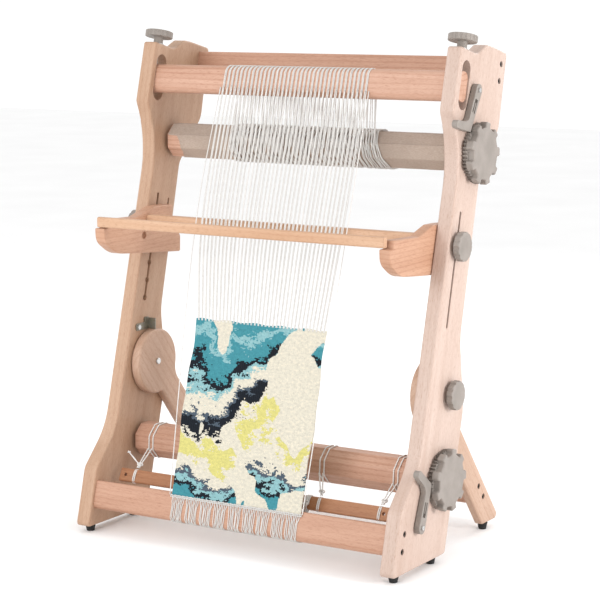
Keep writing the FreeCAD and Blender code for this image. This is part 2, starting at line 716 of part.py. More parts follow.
def side_knob(point, bore_r, side):
    """Clamping knob on a panel's outer face."""
    base = flat_point(point, side * (OUT + CLEAR))
    return stand_on(knob(bore_r + RUNNING, SIDE_HUB, SIDE_FLUTES), base, Vector(side, 0, 0))


# ---- leg frame -----------------------------------------------------------------------------
def leg():
    """Leg with a round head at the pivot; its foot end is cut level."""
    down = LEG_TILT + 90
    uy, uz = math.sin(math.radians(LEG_TILT)), -math.cos(math.radians(LEG_TILT))
    half = LEG_WIDE / 2

    def local(away, rear):
        return LEG_PIVOT[0] + away * uy - rear * uz, LEG_PIVOT[1] + away * uz + rear * uy

    bottom = []
    for rear in (-half, half):
        start = local(0, rear)
        bottom.append((start[0] + (FOOT_TALL - start[1]) * uy / uz, FOOT_TALL))
    head = rod_x(LEG_PIVOT, LEG_DISC_R, LEG_IN, LEG_OUT)
    shank = plate([local(0, -half) + (0,), bottom[0] + (6,), bottom[1] + (10,), local(0, half) + (0,)],
                  LEG_IN, LEG_OUT)
    webs = []
    for fillet, side in ((LEG_BLEND, 1), (LEG_NOOK, -1)):
        rear = half + fillet
        away = math.sqrt((LEG_DISC_R + fillet) ** 2 - rear ** 2)
        centre = local(away, side * rear)
        ratio = LEG_DISC_R / (LEG_DISC_R + fillet)
        touch = local(away * ratio, side * rear * ratio)
        corners = [local(0, 0), touch, centre, local(away, side * half)]
        web = plate([corner + (0,) for corner in corners], LEG_IN, LEG_OUT)
        webs.append(web.cut(rod_x(centre, fillet, LEG_IN - 1, LEG_OUT + 1)))
    shape = eased(fused([head, shank] + webs), 5.0, (LEG_IN, LEG_OUT))
    tools = [rod_x(LEG_PIVOT, LEG_BOLT_R + RUNNING, LEG_IN - 1, LEG_OUT + 1)]
    for point in bolt_points(LEG_BAR_MID, -LEG_TILT):
        tools.append(rod_x(point, BOLT_R + BOLT_GAP, LEG_IN - 1, LEG_OUT + 1))
        tools.append(rod_x(point, RECESS_R, LEG_OUT - BOLT_SUNK, LEG_OUT + 1))
    return cut_all(shape, tools)


def leg_pivot_bolts():
    shank = rod_x(LEG_PIVOT, LEG_BOLT_R, LEG_IN - CLEAR, OUT + KNOB_BORE_DEEP)
    top = LEG_IN - CLEAR - PIVOT_HEAD
    dome = eased(rod_x(LEG_PIVOT, PIVOT_HEAD_R, top, LEG_IN - CLEAR), 1.8, (top,))
    return both_sides(fused([shank, dome]))


def leg_latch():
    """Bent sheet catch on the panel's inner face, its lip above the leg's round head."""
    y, z = LATCH_SCREW
    inner, outer = INN - LATCH_SHEET - CLEAR, INN - CLEAR
    front, back, low, high = y - LATCH_FRONT, y + LATCH_BACK, z - LATCH_LOW, z + LATCH_HIGH
    body = plate([(front, low, 5), (front, high, 5), (back, high, 0), (back, low, 0)], inner, outer)
    tab_front, tab_top = back - LATCH_TAB_WIDE, z + LATCH_TAB_TOP
    tab = [(tab_front, high, 0), (tab_front, tab_top, 3), (back, tab_top, 3), (back, high, 0)]
    lip_in = LEG_IN + 1
    lip = Part.makeBox(outer - lip_in, LATCH_SHEET, LATCH_LIP_TALL, Vector(lip_in, back - LATCH_SHEET, low))
    bore = rod_x(LATCH_SCREW, SCREW_R + RUNNING, LEG_IN, INN + 1)
    return fused([body, plate(tab, inner, outer), lip]).cut(bore)


def latch_screws():
    head_r, head, top = 5.0, 2.5, INN - LATCH_SHEET - 2 * CLEAR
    shank = rod_x(LATCH_SCREW, SCREW_R, top, INN + SCREW_DEEP)
    return both_sides(fused([shank, rod_x(LATCH_SCREW, head_r, top - head, top)]))


# ---- warp, cloth, stick and cords ---------------------------------------------------------------
def on_crossbar(out, up):
    """Point `out` in front of the crossbar's face and `up` from its middle."""
    return leaned(CROSSBAR_MID, STOCK / 2 + out, up, WARP_LEAN)


def tapestry():
    out = CLOTH_OFF + CLOTH_THICK / 2
    points = [on_crossbar(out, CLOTH_LOW), on_crossbar(out, CLOTH_LOW + CLOTH_TALL)]
    return ribbon(points, CLOTH_THICK, CLOTH_LEFT, CLOTH_RIGHT)


def front_warp():
    out, inset = CLOTH_OFF + CLOTH_THICK / 2, 6.0
    path = [on_crossbar(out, CLOTH_LOW + CLOTH_TALL + 1), on_crossbar(out, WARP_TOP)]
    return ribbon(path, WARP_THICK, WARP_LEFT + inset, WARP_RIGHT - inset)


def beam_warp():
    out, top, low = BEAM_THICK / 2 + WARP_OFF, BEAM_TALL / 2 + 1, BEAM_WARP_LOW
    bend, flat = 20.0, 10.0
    path = [(out, low), (out, bend), (flat, top), (-flat, top), (-out, bend), (-out, low)]
    path = [leaned(BEAM_MID, across, up, LEAN) for across, up in path]
    return ribbon(path, WARP_THICK, WARP_LEFT, WARP_RIGHT)


def back_warp():
    return ribbon(BACK_WARP, WARP_THICK, WARP_LEFT, WARP_RIGHT)


def stick_point(across, up):
    return leaned(STICK_MID, across, up, STICK_LEAN)


def apron_stick():
    shape = leaning_box(STICK_MID, STICK_THICK, STICK_WIDE, STICK_LEAN, [2.5] * 4, -STICK_END, STICK_END)
    dy, dz = along(STICK_LEAN)
    holes = []
    for side in (-1, 1):
        base = flat_point(stick_point(-STICK_THICK, 0), side * (STICK_END - STICK_HOLE_IN))
        holes.append(Part.makeCylinder(STICK_HOLE_R, 2 * STICK_THICK, base, Vector(0, -dz, dy)))
    return cut_all(shape, holes)


def lower_warp():
    under = RAIL_TALL / 2 + 1.3
    points = [on_crossbar(1.3, CLOTH_LOW - 1), on_crossbar(1.3, -under), on_crossbar(-STOCK - 1.5, -under),
              stick_point(0, -STICK_WIDE / 2 - CORD - 2)]
    return ribbon(points, WARP_THICK, CLOTH_LEFT, CLOTH_RIGHT)


def tie_wraps():
    """Cord turns round the cloth roller, two at each tie."""
    rings = []
    for place in TIE_PLACES:
        for shift in (-5.0, 5.0):
            x0 = place + shift - CORD / 2
            ring = octagon(LOWER_AXIS, ROLLER_FLAT + 2 * CORD + 0.2, x0, x0 + CORD)
            rings.append(ring.cut(octagon(LOWER_AXIS, ROLLER_FLAT + 0.2, x0 - 1, x0 + CORD + 1)))
    return rings


def tie_runs():
    """Loop round the apron stick and taut cord up to the cloth roller, at each tie."""
    runs = []
    gap = 0.1
    stop = polar(LOWER_AXIS, 43.5, 196.0)
    start = stick_point(0, STICK_WIDE / 2 + CORD / 2)
    for place in TIE_PLACES:
        x0, x1 = place - CORD / 2, place + CORD / 2
        thick, wide = STICK_THICK + gap, STICK_WIDE + gap
        loop = leaning_box(STICK_MID, thick + 2 * CORD, wide + 2 * CORD, STICK_LEAN, [4] * 4, x0, x1)
        hole = leaning_box(STICK_MID, thick, wide, STICK_LEAN, [2.5] * 4, x0 - 1, x1 + 1)
        run = rod_between(flat_point(start, place), flat_point(stop, place), CORD / 2)
        runs.append(fused([loop.cut(hole), run]))
    return runs


# ---- assembly --------------------------------------------------------------------------------
def build():
    """Every node's solids, by name, laid out around the front feet."""
    nodes = {
        "side_panel_left": [side_panel_left()],
        "side_panel_right": [side_panel_right()],
        "front_crossbar": [rail(CROSSBAR_MID, WARP_LEAN, INN, [12, 4, 4, 4])],
        "top_rear_rail": [rail(RAIL_MID, LEAN, INN, [4, 4, 4, 4])],
        "frame_bolts": rail_bolts(CROSSBAR_MID, WARP_LEAN, OUT, INN) + rail_bolts(RAIL_MID, LEAN, OUT, INN),
        "frame_barrel_nuts": barrel_nuts(CROSSBAR_MID, WARP_LEAN, INN) + barrel_nuts(RAIL_MID, LEAN, INN),
        "panel_feet": panel_feet(),
        "roller_bushes": roller_bushes(),
        "leg_pivot_bolts": leg_pivot_bolts(),
        "tension_washers": tension_washers(),
        "pawl_screws": pawl_screws(),
        "latch_screws": latch_screws(),
        "front_warp": [front_warp()],
        "back_warp": [back_warp()],
        "tapestry": [tapestry()],
        "lower_warp": [lower_warp()],
        "apron_stick": [apron_stick()],
        "tie_cord_runs": tie_runs(),
        "upper_roller_core": [roller_core(UPPER_AXIS)],
        "cardboard_wrap": [cardboard_wrap()],
        "wound_warp": [wound_warp()],
        "upper_wheel_pin": [wheel_pin(UPPER_AXIS, PIN_R)],
        "lower_roller_core": [roller_core(LOWER_AXIS)],
        "lower_wheel_pin": [wheel_pin(LOWER_AXIS, PIN_R)],
        "tie_cord_wraps": tie_wraps(),
        "top_beam": [top_beam()],
        "beam_thread_inserts": beam_thread_inserts(),
        "beam_warp": [beam_warp()],
        "front_leash_bar": [square_bar(FRONT_BAR, FRONT_BAR_LEFT, FRONT_BAR_RIGHT)],
        "shed_bar": [square_bar(SHED_BAR, -BRACKET_IN, BRACKET_IN)],
        "leash_studs": leash_studs(),
        "leash_guide_pins": leash_guide_pins(),
        "leg_crossbar": [rail(LEG_BAR_MID, -LEG_TILT, LEG_IN, [4, 4, 4, 4])],
        "leg_bolts": rail_bolts(LEG_BAR_MID, -LEG_TILT, LEG_OUT, LEG_IN),
        "leg_barrel_nuts": barrel_nuts(LEG_BAR_MID, -LEG_TILT, LEG_IN),
        "leg_feet": [foot(side * (LEG_IN + LEG_THICK / 2), LEG_FOOT_Y) for side in (-1, 1)],
    }
    wheels = (("upper", UPPER_AXIS, PAWL_UPPER_FROM, 1), ("lower", LOWER_AXIS, PAWL_LOWER_FROM, -1))
    for name, axis, pivot_from, hand in wheels:
        nodes[name + "_ratchet_wheel"] = [ratchet_wheel(axis, pivot_from + hand * PAWL_FACE, hand)]
        nodes[name + "_pawl"] = [pawl(axis, pivot_from, hand)]
        nodes[name + "_pawl_spring"] = [pawl_spring(axis, pivot_from, hand)]
    for name, side in (("left", -1), ("right", 1)):
        nodes["tension_knob_" + name] = [tension_knob(side)]
        nodes["tension_rod_" + name] = [tension_rod(side)]
        nodes["leash_knob_" + name] = [side_knob(LEASH_BOLT, LEASH_BOLT_R, side)]
        nodes["leg_knob_" + name] = [side_knob(LEG_PIVOT, LEG_BOLT_R, side)]
        pairs = {"leash_bracket_": leash_bracket(), "leg_": leg(), "leg_latch_": leg_latch()}
        for part_name, shape in pairs.items():
            nodes[part_name + name] = [shape if side > 0 else mirrored(shape)]
    return nodes


def origin_shift(nodes):
    """Move that puts the origin at the middle of the bounding box's bottom."""
    box = FreeCAD.BoundBox()
    for solids in nodes.values():
        for solid in solids:
            box.add(solid.BoundBox)
    return Vector(-box.Center.x, -box.Center.y, -box.ZMin)


def export(nodes, shift):
    os.makedirs("parts", exist_ok=True)
    for name, solids in nodes.items():
        placed = [solid.translated(shift) for solid in solids]
        shape = Part.makeCompound(placed) if len(placed) > 1 else placed[0]
        shape.exportStep("parts/" + name + ".step")
        print(name, len(placed), "solids", round(shape.Volume / 1000, 2), "cm3", shape.isValid())


NODES = build()
SHIFT = origin_shift(NODES)
export(NODES, SHIFT)
print("nodes", len(NODES), "origin shift", [round(value, 3) for value in SHIFT])
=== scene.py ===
"""Looks of an upright tapestry loom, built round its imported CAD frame.

Metres, in the frame's own axes: X is the loom's width, Y runs away from the weaver, Z is up.
Lengths in the loom's own layout start at the front feet; place() moves them into the frame.
"""
import bmesh
import bpy
import json
import math
import random
from mathutils import Matrix, Vector


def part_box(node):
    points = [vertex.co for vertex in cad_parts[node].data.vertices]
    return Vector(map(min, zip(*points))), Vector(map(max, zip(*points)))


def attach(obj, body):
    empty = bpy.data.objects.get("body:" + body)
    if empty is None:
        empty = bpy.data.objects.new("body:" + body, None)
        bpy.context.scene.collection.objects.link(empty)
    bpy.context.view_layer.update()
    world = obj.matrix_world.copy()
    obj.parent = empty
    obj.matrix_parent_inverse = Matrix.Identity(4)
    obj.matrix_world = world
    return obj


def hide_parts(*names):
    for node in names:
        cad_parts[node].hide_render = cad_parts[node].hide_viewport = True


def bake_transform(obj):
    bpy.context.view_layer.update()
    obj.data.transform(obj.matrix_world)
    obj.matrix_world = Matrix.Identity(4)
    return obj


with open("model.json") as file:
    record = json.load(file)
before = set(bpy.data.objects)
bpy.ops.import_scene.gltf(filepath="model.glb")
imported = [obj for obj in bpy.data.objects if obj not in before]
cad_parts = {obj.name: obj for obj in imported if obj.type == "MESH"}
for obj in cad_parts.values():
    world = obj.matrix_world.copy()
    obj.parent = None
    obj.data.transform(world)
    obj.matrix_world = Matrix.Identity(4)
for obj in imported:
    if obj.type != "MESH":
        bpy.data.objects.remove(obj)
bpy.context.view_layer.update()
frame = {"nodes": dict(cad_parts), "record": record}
random.seed(7)

# ---- the frame's own places ------------------------------------------------------------------
JOINTS = {joint["name"]: joint for joint in frame["record"]["behaviour"]["joints"]}
UPPER = Vector(JOINTS["upper_roller_turn"]["pos_m"])
LOWER = Vector(JOINTS["lower_roller_turn"]["pos_m"])
UPPER_LAYOUT = (0.296, 0.806)            # the upper roller's y and z, from the front feet
CROSSBAR_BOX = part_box("front_crossbar")
MIDDLE_X = (CROSSBAR_BOX[0][0] + CROSSBAR_BOX[1][0]) / 2
FRONT_Y = UPPER.y - UPPER_LAYOUT[0]
LEAN = math.radians(13.8)                # panels, beam and slots
WARP_LEAN = math.radians(15.4)           # warp and crossbar
LEG_LEAN = math.radians(39.4)

CROSSBAR_MID = (0.0126, 0.0768)
CROSSBAR_HALF = 0.016                    # half its thickness
CROSSBAR_TALL = 0.059
BEAM_MID = (0.2476, 0.939)
BEAM_HALF = 0.0165                       # half its thickness
BEAM_TOP = 0.030                         # its top above its middle
BEAM_ROUND = 0.014
STICK_MID = (0.062, 0.113)
STICK_LEAN = math.radians(27.0)

ENDS = 36                                # warp pairs seen in front
THREAD = 0.00106                         # a warp end's radius
CLOTH_LEFT, CLOTH_RIGHT = -0.155, 0.157
CLOTH_LOW, CLOTH_TALL = 0.024, 0.366     # along the warp, from the crossbar's middle
FELL_SPREAD = (-0.153, 0.155)            # outermost warp ends at the cloth
LEASH_UP = 0.584                         # where the leash bars spread the warp
LEASH_SPREAD = (-0.184, 0.167)
BEAM_SPREAD = (-0.1745, 0.1755)
BEHIND_SPREAD = (-0.161, 0.179)
ROLLER_SPREAD = (-0.174, 0.178)


def place(x, y, z):
    """A point of the loom's layout, in the frame."""
    return Vector((x + MIDDLE_X, y + FRONT_Y, z))


def leaned(middle, across, up, lean, x=0.0):
    """Point `across` in front of and `up` along a line leaning back through `middle`."""
    dy, dz = math.sin(lean), math.cos(lean)
    return place(x, middle[0] - across * dz + up * dy, middle[1] + across * dy + up * dz)


def on_warp(x, up, out=0.002):
    """Point on the warp's plane, `out` in front of the crossbar's face."""
    return leaned(CROSSBAR_MID, CROSSBAR_HALF + out, up, WARP_LEAN, x)


def on_beam(x, across, up):
    """Point `across` in front of the top beam's middle and `up` along it."""
    return leaned(BEAM_MID, across, up, LEAN, x)


def spread(ends, share):
    """The place that is `share` of the way from one end to the other."""
    return ends[0] + (ends[1] - ends[0]) * share


def smooth(share):
    """0 to 1 with a soft start and end."""
    return share * share * (3 - 2 * share)


def new_mesh(name, points, faces, material):
    mesh = bpy.data.meshes.new(name)
    mesh.from_pydata(points, [], faces)
    mesh.materials.append(material)
    return mesh


def new_object(name, data):
    made = bpy.data.objects.new(name, data)
    bpy.context.scene.collection.objects.link(made)
    return made


# ---- materials -------------------------------------------------------------------------------
class Paint:
    """A node material, built by short calls."""

    def __init__(self, name, roughness=0.5, metallic=0.0, specular=0.5, coat=0.0, sheen=0.0):
        self.material = bpy.data.materials.new(name)
        self.material.use_nodes = True
        self.tree = self.material.node_tree
        self.shader = self.tree.nodes["Principled BSDF"]
        values = {"Roughness": roughness, "Metallic": metallic, "Specular IOR Level": specular,
                  "Coat Weight": coat, "Sheen Weight": sheen}
        for socket, value in values.items():
            self.shader.inputs[socket].default_value = value

    def node(self, kind, inputs=None, **settings):
        made = self.tree.nodes.new(kind)
        for name, value in settings.items():
            setattr(made, name, value)
        for name, value in (inputs or {}).items():
            if isinstance(value, bpy.types.NodeSocket):
                self.tree.links.new(value, made.inputs[name])
            else:
                made.inputs[name].default_value = value
        return made

    def link(self, source, socket):
        self.tree.links.new(source, self.shader.inputs[socket])

    def coords(self, scale=(1, 1, 1), rotation=(0, 0, 0), kind="Object"):
        source = self.node("ShaderNodeTexCoord").outputs[kind]
        mapping = self.node("ShaderNodeMapping", {"Vector": source, "Rotation": rotation, "Scale": scale})
        return mapping.outputs["Vector"]

    def noise(self, vector, scale, detail=4.0, roughness=0.5, distortion=0.0):
        made = self.node("ShaderNodeTexNoise", {"Vector": vector, "Scale": scale, "Detail": detail,
                                                "Roughness": roughness, "Distortion": distortion})
        return made.outputs["Fac"]

    def ramp(self, value, stops, interpolation="LINEAR"):
        made = self.node("ShaderNodeValToRGB", {"Fac": value})
        ramp = made.color_ramp
        ramp.interpolation = interpolation
        while len(ramp.elements) < len(stops):
            ramp.elements.new(1.0)
        for element, (position, colour) in zip(ramp.elements, stops):
            element.position = position
            element.color = (*colour, 1.0)
        return made.outputs["Color"]

    def mix(self, share, first, second, blend="MIX"):
        made = self.node("ShaderNodeMix", data_type="RGBA", blend_type=blend)
        factor, colour_a, colour_b, colour_out = 0, 6, 7, 2      # a colour mix's own sockets
        for index, value in ((factor, share), (colour_a, first), (colour_b, second)):
            if isinstance(value, bpy.types.NodeSocket):
                self.tree.links.new(value, made.inputs[index])
            else:
                made.inputs[index].default_value = value
        return made.outputs[colour_out]

    def math(self, operation, first, second=0.0):
        made = self.node("ShaderNodeMath", {0: first, 1: second}, operation=operation)
        return made.outputs[0]

    def bump(self, height, distance, strength=0.5, eased=0.0):
        """Relief from `height`, over edges that look rounded to radius `eased`."""
        made = self.node("ShaderNodeBump", {"Height": height, "Strength": strength, "Distance": distance})
        if eased:
            edge = self.node("ShaderNodeBevel", {"Radius": eased}, samples=6)
            self.tree.links.new(edge.outputs["Normal"], made.inputs["Normal"])
        self.link(made.outputs["Normal"], "Normal")

    def vary_roughness(self, value, low, high):
        made = self.node("ShaderNodeMapRange", {"Value": value, "To Min": low, "To Max": high})
        self.link(made.outputs[0], "Roughness")


def wood(name, light, dark, turn=(0, 0, 0), offset=0.0, figured=1.0):
    """Plain-sawn wood; its grain runs along X before `turn`, and shows more as `figured` grows."""
    paint = Paint(name, roughness=0.5, specular=0.35)
    source = paint.node("ShaderNodeTexCoord").outputs["Object"]
    turned = paint.node("ShaderNodeMapping", {"Vector": source, "Rotation": turn,
                                              "Location": (offset, offset, offset)}).outputs["Vector"]

    def stretched(x, y, z):
        return paint.node("ShaderNodeMapping", {"Vector": turned, "Scale": (x, y, z)}).outputs["Vector"]

    figure = paint.noise(stretched(1.1, 9.0, 9.0), 2.2, 3.0, 0.55, 0.9)
    sway = paint.noise(stretched(3.0, 14.0, 14.0), 1.0, 2.0, 0.5)
    rings = paint.node("ShaderNodeTexWave", {"Vector": stretched(0.8, 7.0, 9.0), "Scale": 3.4,
                                             "Distortion": 7.0, "Detail": 3.0, "Detail Scale": 0.6},
                       bands_direction="Z").outputs["Fac"]
    tone = paint.ramp(figure, [(0.30, dark), (0.72, light)])
    deep = tuple(1.0 - figured * share for share in (0.13, 0.20, 0.24))
    lines = paint.ramp(rings, [(0.0, deep), (0.35, (1.0, 1.0, 1.0))])
    tone = paint.mix(paint.ramp(sway, [(0.35, (0.1, 0.1, 0.1)), (0.7, (1, 1, 1))]), tone,
                     paint.mix(1.0, tone, lines, "MULTIPLY"))
    flecks = paint.noise(stretched(30.0, 420.0, 420.0), 3.0, 2.0, 0.6)
    fleck_tone = paint.ramp(flecks, [(0.54, (1.0, 1.0, 1.0)), (0.68, (0.70, 0.58, 0.50))])
    tone = paint.mix(0.8, tone, fleck_tone, "MULTIPLY")
    pores = paint.noise(stretched(8.0, 700.0, 700.0), 2.0, 1.0)
    paint.link(tone, "Base Color")
    paint.vary_roughness(figure, 0.40, 0.58)
    paint.bump(paint.math("ADD", flecks, pores), 0.00015, 0.35, 0.0020)
    return paint.material


def plastic():
    paint = Paint("grey_plastic", roughness=0.5, specular=0.4)
    vector = paint.coords()
    cloud = paint.noise(vector, 30.0, 3.0)
    grain = paint.noise(vector, 900.0, 2.0)
    scuff = paint.noise(paint.coords((40, 40, 400)), 3.0, 4.0)
    tone = paint.ramp(cloud, [(0.3, (0.232, 0.203, 0.180)), (0.7, (0.290, 0.254, 0.228))])
    scuffed = paint.ramp(scuff, [(0.62, (1, 1, 1)), (0.78, (1.16, 1.15, 1.14))])
    paint.link(paint.mix(0.5, tone, scuffed, "MULTIPLY"), "Base Color")
    paint.vary_roughness(scuff, 0.4, 0.62)
    paint.bump(grain, 0.0002, 0.3, 0.0012)
    return paint.material


def metal(name, colour, roughness, fleck, metallic=1.0):
    paint = Paint(name, roughness=roughness, metallic=metallic)
    vector = paint.coords((1, 1, 1))
    spangle = paint.node("ShaderNodeTexVoronoi", {"Vector": vector, "Scale": 500.0}).outputs["Color"]
    brushed = paint.noise(paint.coords((900, 60, 900)), 1.0, 2.0)
    dull = tuple(value * fleck for value in colour)
    tone = paint.ramp(brushed, [(0.3, dull), (0.7, colour)])
    paint.link(paint.mix(0.06, tone, spangle, "OVERLAY"), "Base Color")
    paint.vary_roughness(brushed, roughness * 0.8, roughness * 1.3)
    paint.bump(brushed, 0.00005, 0.2)
    return paint.material


def rubber():
    paint = Paint("foot_rubber", roughness=0.75, specular=0.3)
    grain = paint.noise(paint.coords(), 600.0, 3.0)
    paint.link(paint.ramp(grain, [(0.3, (0.012, 0.012, 0.013)), (0.7, (0.035, 0.034, 0.033))]), "Base Color")
    paint.bump(grain, 0.0002, 0.4)
    return paint.material


def twisted(name, light, dark, pitch):
    """Twisted yarn with painted shade in the grooves between its plies; its UVs are turns round and metres
    along each end.
    """
    paint = Paint(name, roughness=0.85, specular=0.2, sheen=0.25)
    uv = paint.node("ShaderNodeTexCoord").outputs["UV"]
    parts = paint.node("ShaderNodeSeparateXYZ", {"Vector": uv}).outputs
    plies = 3.0
    round_it = paint.math("MULTIPLY", parts["X"], plies)
    phase = paint.math("ADD", round_it, paint.math("DIVIDE", parts["Y"], pitch))
    wave = paint.math("SINE", paint.math("MULTIPLY", phase, 2 * math.pi))
    height = paint.math("ABSOLUTE", wave)
    fuzz = paint.noise(paint.coords(), 1500.0, 2.0)
    # The ply grooves take the darker colour: painted shade between the plies. The fuzz below mixes the same
    # two colours at random.
    tone = paint.ramp(height, [(0.05, dark), (0.6, light)])
    paint.link(paint.mix(0.12, tone, paint.ramp(fuzz, [(0.3, dark), (0.7, light)])), "Base Color")
    paint.bump(paint.math("ADD", height, paint.math("MULTIPLY", fuzz, 0.3)), 0.0003, 0.6)
    return paint.material


def cardboard():
    paint = Paint("cardboard", roughness=0.9, specular=0.15)
    flutes = paint.node("ShaderNodeTexWave", {"Vector": paint.coords((130, 1, 1)), "Scale": 0.33,
                                              "Distortion": 0.5}, bands_direction="X").outputs["Fac"]
    fibre = paint.noise(paint.coords((200, 900, 900)), 1.0, 5.0)
    stain = paint.noise(paint.coords(), 9.0, 4.0)
    tone = paint.ramp(fibre, [(0.3, (0.360, 0.285, 0.235)), (0.7, (0.455, 0.372, 0.315))])
    stained = paint.ramp(stain, [(0.35, (0.86, 0.85, 0.84)), (0.65, (1.06, 1.05, 1.04))])
    paint.link(paint.mix(0.8, tone, stained, "MULTIPLY"), "Base Color")
    paint.bump(paint.math("ADD", fibre, paint.math("MULTIPLY", flutes, 0.7)), 0.0004, 0.35)
    return paint.material


def woven():
    """Weft-faced wool in wavy bands with ragged edges. UVs run 0 to 1 across and up the cloth."""
    paint = Paint("tapestry_wool", roughness=0.9, specular=0.08, sheen=0.12)
    uv = paint.node("ShaderNodeTexCoord").outputs["UV"]
    columns, rows = 136.0, 250.0
    step = (1 / columns, 1 / rows, 1.0)
    snapped = paint.node("ShaderNodeVectorMath", {0: uv, 1: step}, operation="SNAP").outputs["Vector"]
    parts = paint.node("ShaderNodeSeparateXYZ", {"Vector": snapped}).outputs

    def stretched(x, y, shift):
        return paint.node("ShaderNodeMapping", {"Vector": snapped, "Scale": (x, y, 1.0),
                                                "Location": (shift, shift, 0.0)}).outputs["Vector"]

    swell = paint.noise(stretched(1.3, 0.7, 3.1), 1.6, 2.0, 0.5)
    ragged = paint.noise(stretched(5.0, 9.0, 8.4), 2.0, 4.0, 0.6)
    speckle = paint.noise(stretched(60.0, 90.0, 5.5), 1.3, 1.0)
    height = parts["Y"]
    for field, strength in ((swell, 0.85), (ragged, 0.30), (speckle, 0.085)):
        centred = paint.math("SUBTRACT", field, 0.5)
        height = paint.math("ADD", height, paint.math("MULTIPLY", centred, strength))
    teal, pale, cream = (0.055, 0.250, 0.300), (0.240, 0.440, 0.470), (0.640, 0.605, 0.510)
    charcoal, slate, yellow = (0.010, 0.013, 0.019), (0.070, 0.095, 0.125), (0.600, 0.560, 0.200)
    bands = [(0.0, teal), (0.07, charcoal), (0.115, pale), (0.17, slate), (0.21, cream), (0.33, yellow),
             (0.43, cream), (0.475, charcoal), (0.565, slate), (0.60, cream), (0.69, pale),
             (0.735, charcoal), (0.80, teal), (0.90, pale), (0.95, teal)]
    tone = paint.ramp(height, bands, "CONSTANT")
    patch = paint.noise(stretched(1.6, 1.2, 17.3), 1.9, 2.0, 0.5)
    side = paint.math("ADD", patch, paint.math("MULTIPLY", parts["X"], 0.22))
    tone = paint.mix(paint.ramp(side, [(0.0, (0, 0, 0)), (0.66, (1, 1, 1))], "CONSTANT"), tone, (*cream, 1.0))
    strands = paint.noise(paint.coords((columns, rows * 4, 1.0), kind="UV"), 1.0, 2.0)
    shade = paint.ramp(strands, [(0.3, (0.70, 0.70, 0.70)), (0.7, (1.15, 1.15, 1.15))])
    tone = paint.mix(0.8, tone, shade, "MULTIPLY")
    blend = paint.noise(stretched(34.0, 62.0, 11.9), 1.2, 3.0, 0.7)
    dyes = [(0.32, (0.78, 0.77, 0.77)), (0.5, (0.98, 0.98, 0.97)), (0.68, (1.22, 1.16, 1.10))]
    dyed = paint.ramp(blend, dyes)
    paint.link(paint.mix(0.75, tone, dyed, "MULTIPLY"), "Base Color")
    fuzz = paint.noise(paint.coords(), 1600.0, 3.0)
    paint.bump(fuzz, 0.0004, 0.5)
    return paint.material


def plain_floor():
    paint = Paint("pale_floor", roughness=0.9, specular=0.1)
    mottle = paint.noise(paint.coords(), 2.0, 2.0)
    paint.link(paint.ramp(mottle, [(0.3, (0.90, 0.90, 0.90)), (0.7, (0.93, 0.93, 0.93))]), "Base Color")
    return paint.material


def lean_turn(lean):
    """Turns the grain from X to a line that leans back by `lean`."""
    up = Vector((0, math.sin(lean), math.cos(lean)))
    return up.rotation_difference(Vector((1, 0, 0))).to_euler()


ALONG_X, ALONG_Y = (0, 0, 0), (0, 0, math.pi / 2)    # turns for grain that runs along X or Y
MATERIALS = {
    "panel": wood("beech_panel", (0.580, 0.452, 0.390), (0.505, 0.375, 0.312),
                  lean_turn(LEAN), offset=0.0, figured=0.45),
    # The left panel gets a darker, more saturated copy of the panel wood: painted shade standing in for the
    # shade on its inner face.
    "panel_painted_shade": wood("beech_panel_painted_shade", (0.510, 0.340, 0.238), (0.425, 0.262, 0.170),
                      lean_turn(LEAN), offset=6.1, figured=0.7),
    "leg": wood("beech_leg", (0.542, 0.372, 0.280), (0.455, 0.298, 0.212),
                lean_turn(-LEG_LEAN), offset=1.7, figured=0.9),
    "rail": wood("beech_rail", (0.545, 0.325, 0.230), (0.440, 0.240, 0.160),
                 ALONG_X, offset=3.1, figured=1.0),
    "beam": wood("beech_beam", (0.575, 0.355, 0.262), (0.460, 0.255, 0.172),
                 ALONG_X, offset=5.3, figured=1.3),
    "bracket": wood("beech_bracket", (0.560, 0.335, 0.228), (0.465, 0.255, 0.163),
                    ALONG_Y, offset=2.2, figured=1.0),
    "bar": wood("beech_bar", (0.610, 0.400, 0.270), (0.520, 0.310, 0.190),
                ALONG_X, offset=8.8, figured=0.6),
    "stick": wood("stick_wood", (0.450, 0.225, 0.115), (0.340, 0.150, 0.070),
                  ALONG_X, offset=4.4, figured=1.0),
    "plastic": plastic(),
    "zinc": metal("zinc_steel", (0.70, 0.70, 0.69), 0.32, 0.78),
    "black": metal("black_steel", (0.012, 0.012, 0.013), 0.5, 0.6, 0.2),
    "latch": metal("latch_steel", (0.340, 0.315, 0.265), 0.38, 0.7),
    "rubber": rubber(),
    # Each yarn's second colour is painted shade for the grooves between its plies, and is also used for its
    # random fuzz.
    "warp": twisted("warp_cotton", (0.80, 0.785, 0.762), (0.43, 0.41, 0.38), 0.0035),
    "cord": twisted("cord_cotton", (0.90, 0.885, 0.86), (0.58, 0.56, 0.53), 0.006),
    "cardboard": cardboard(),
    "cloth": woven(),
}

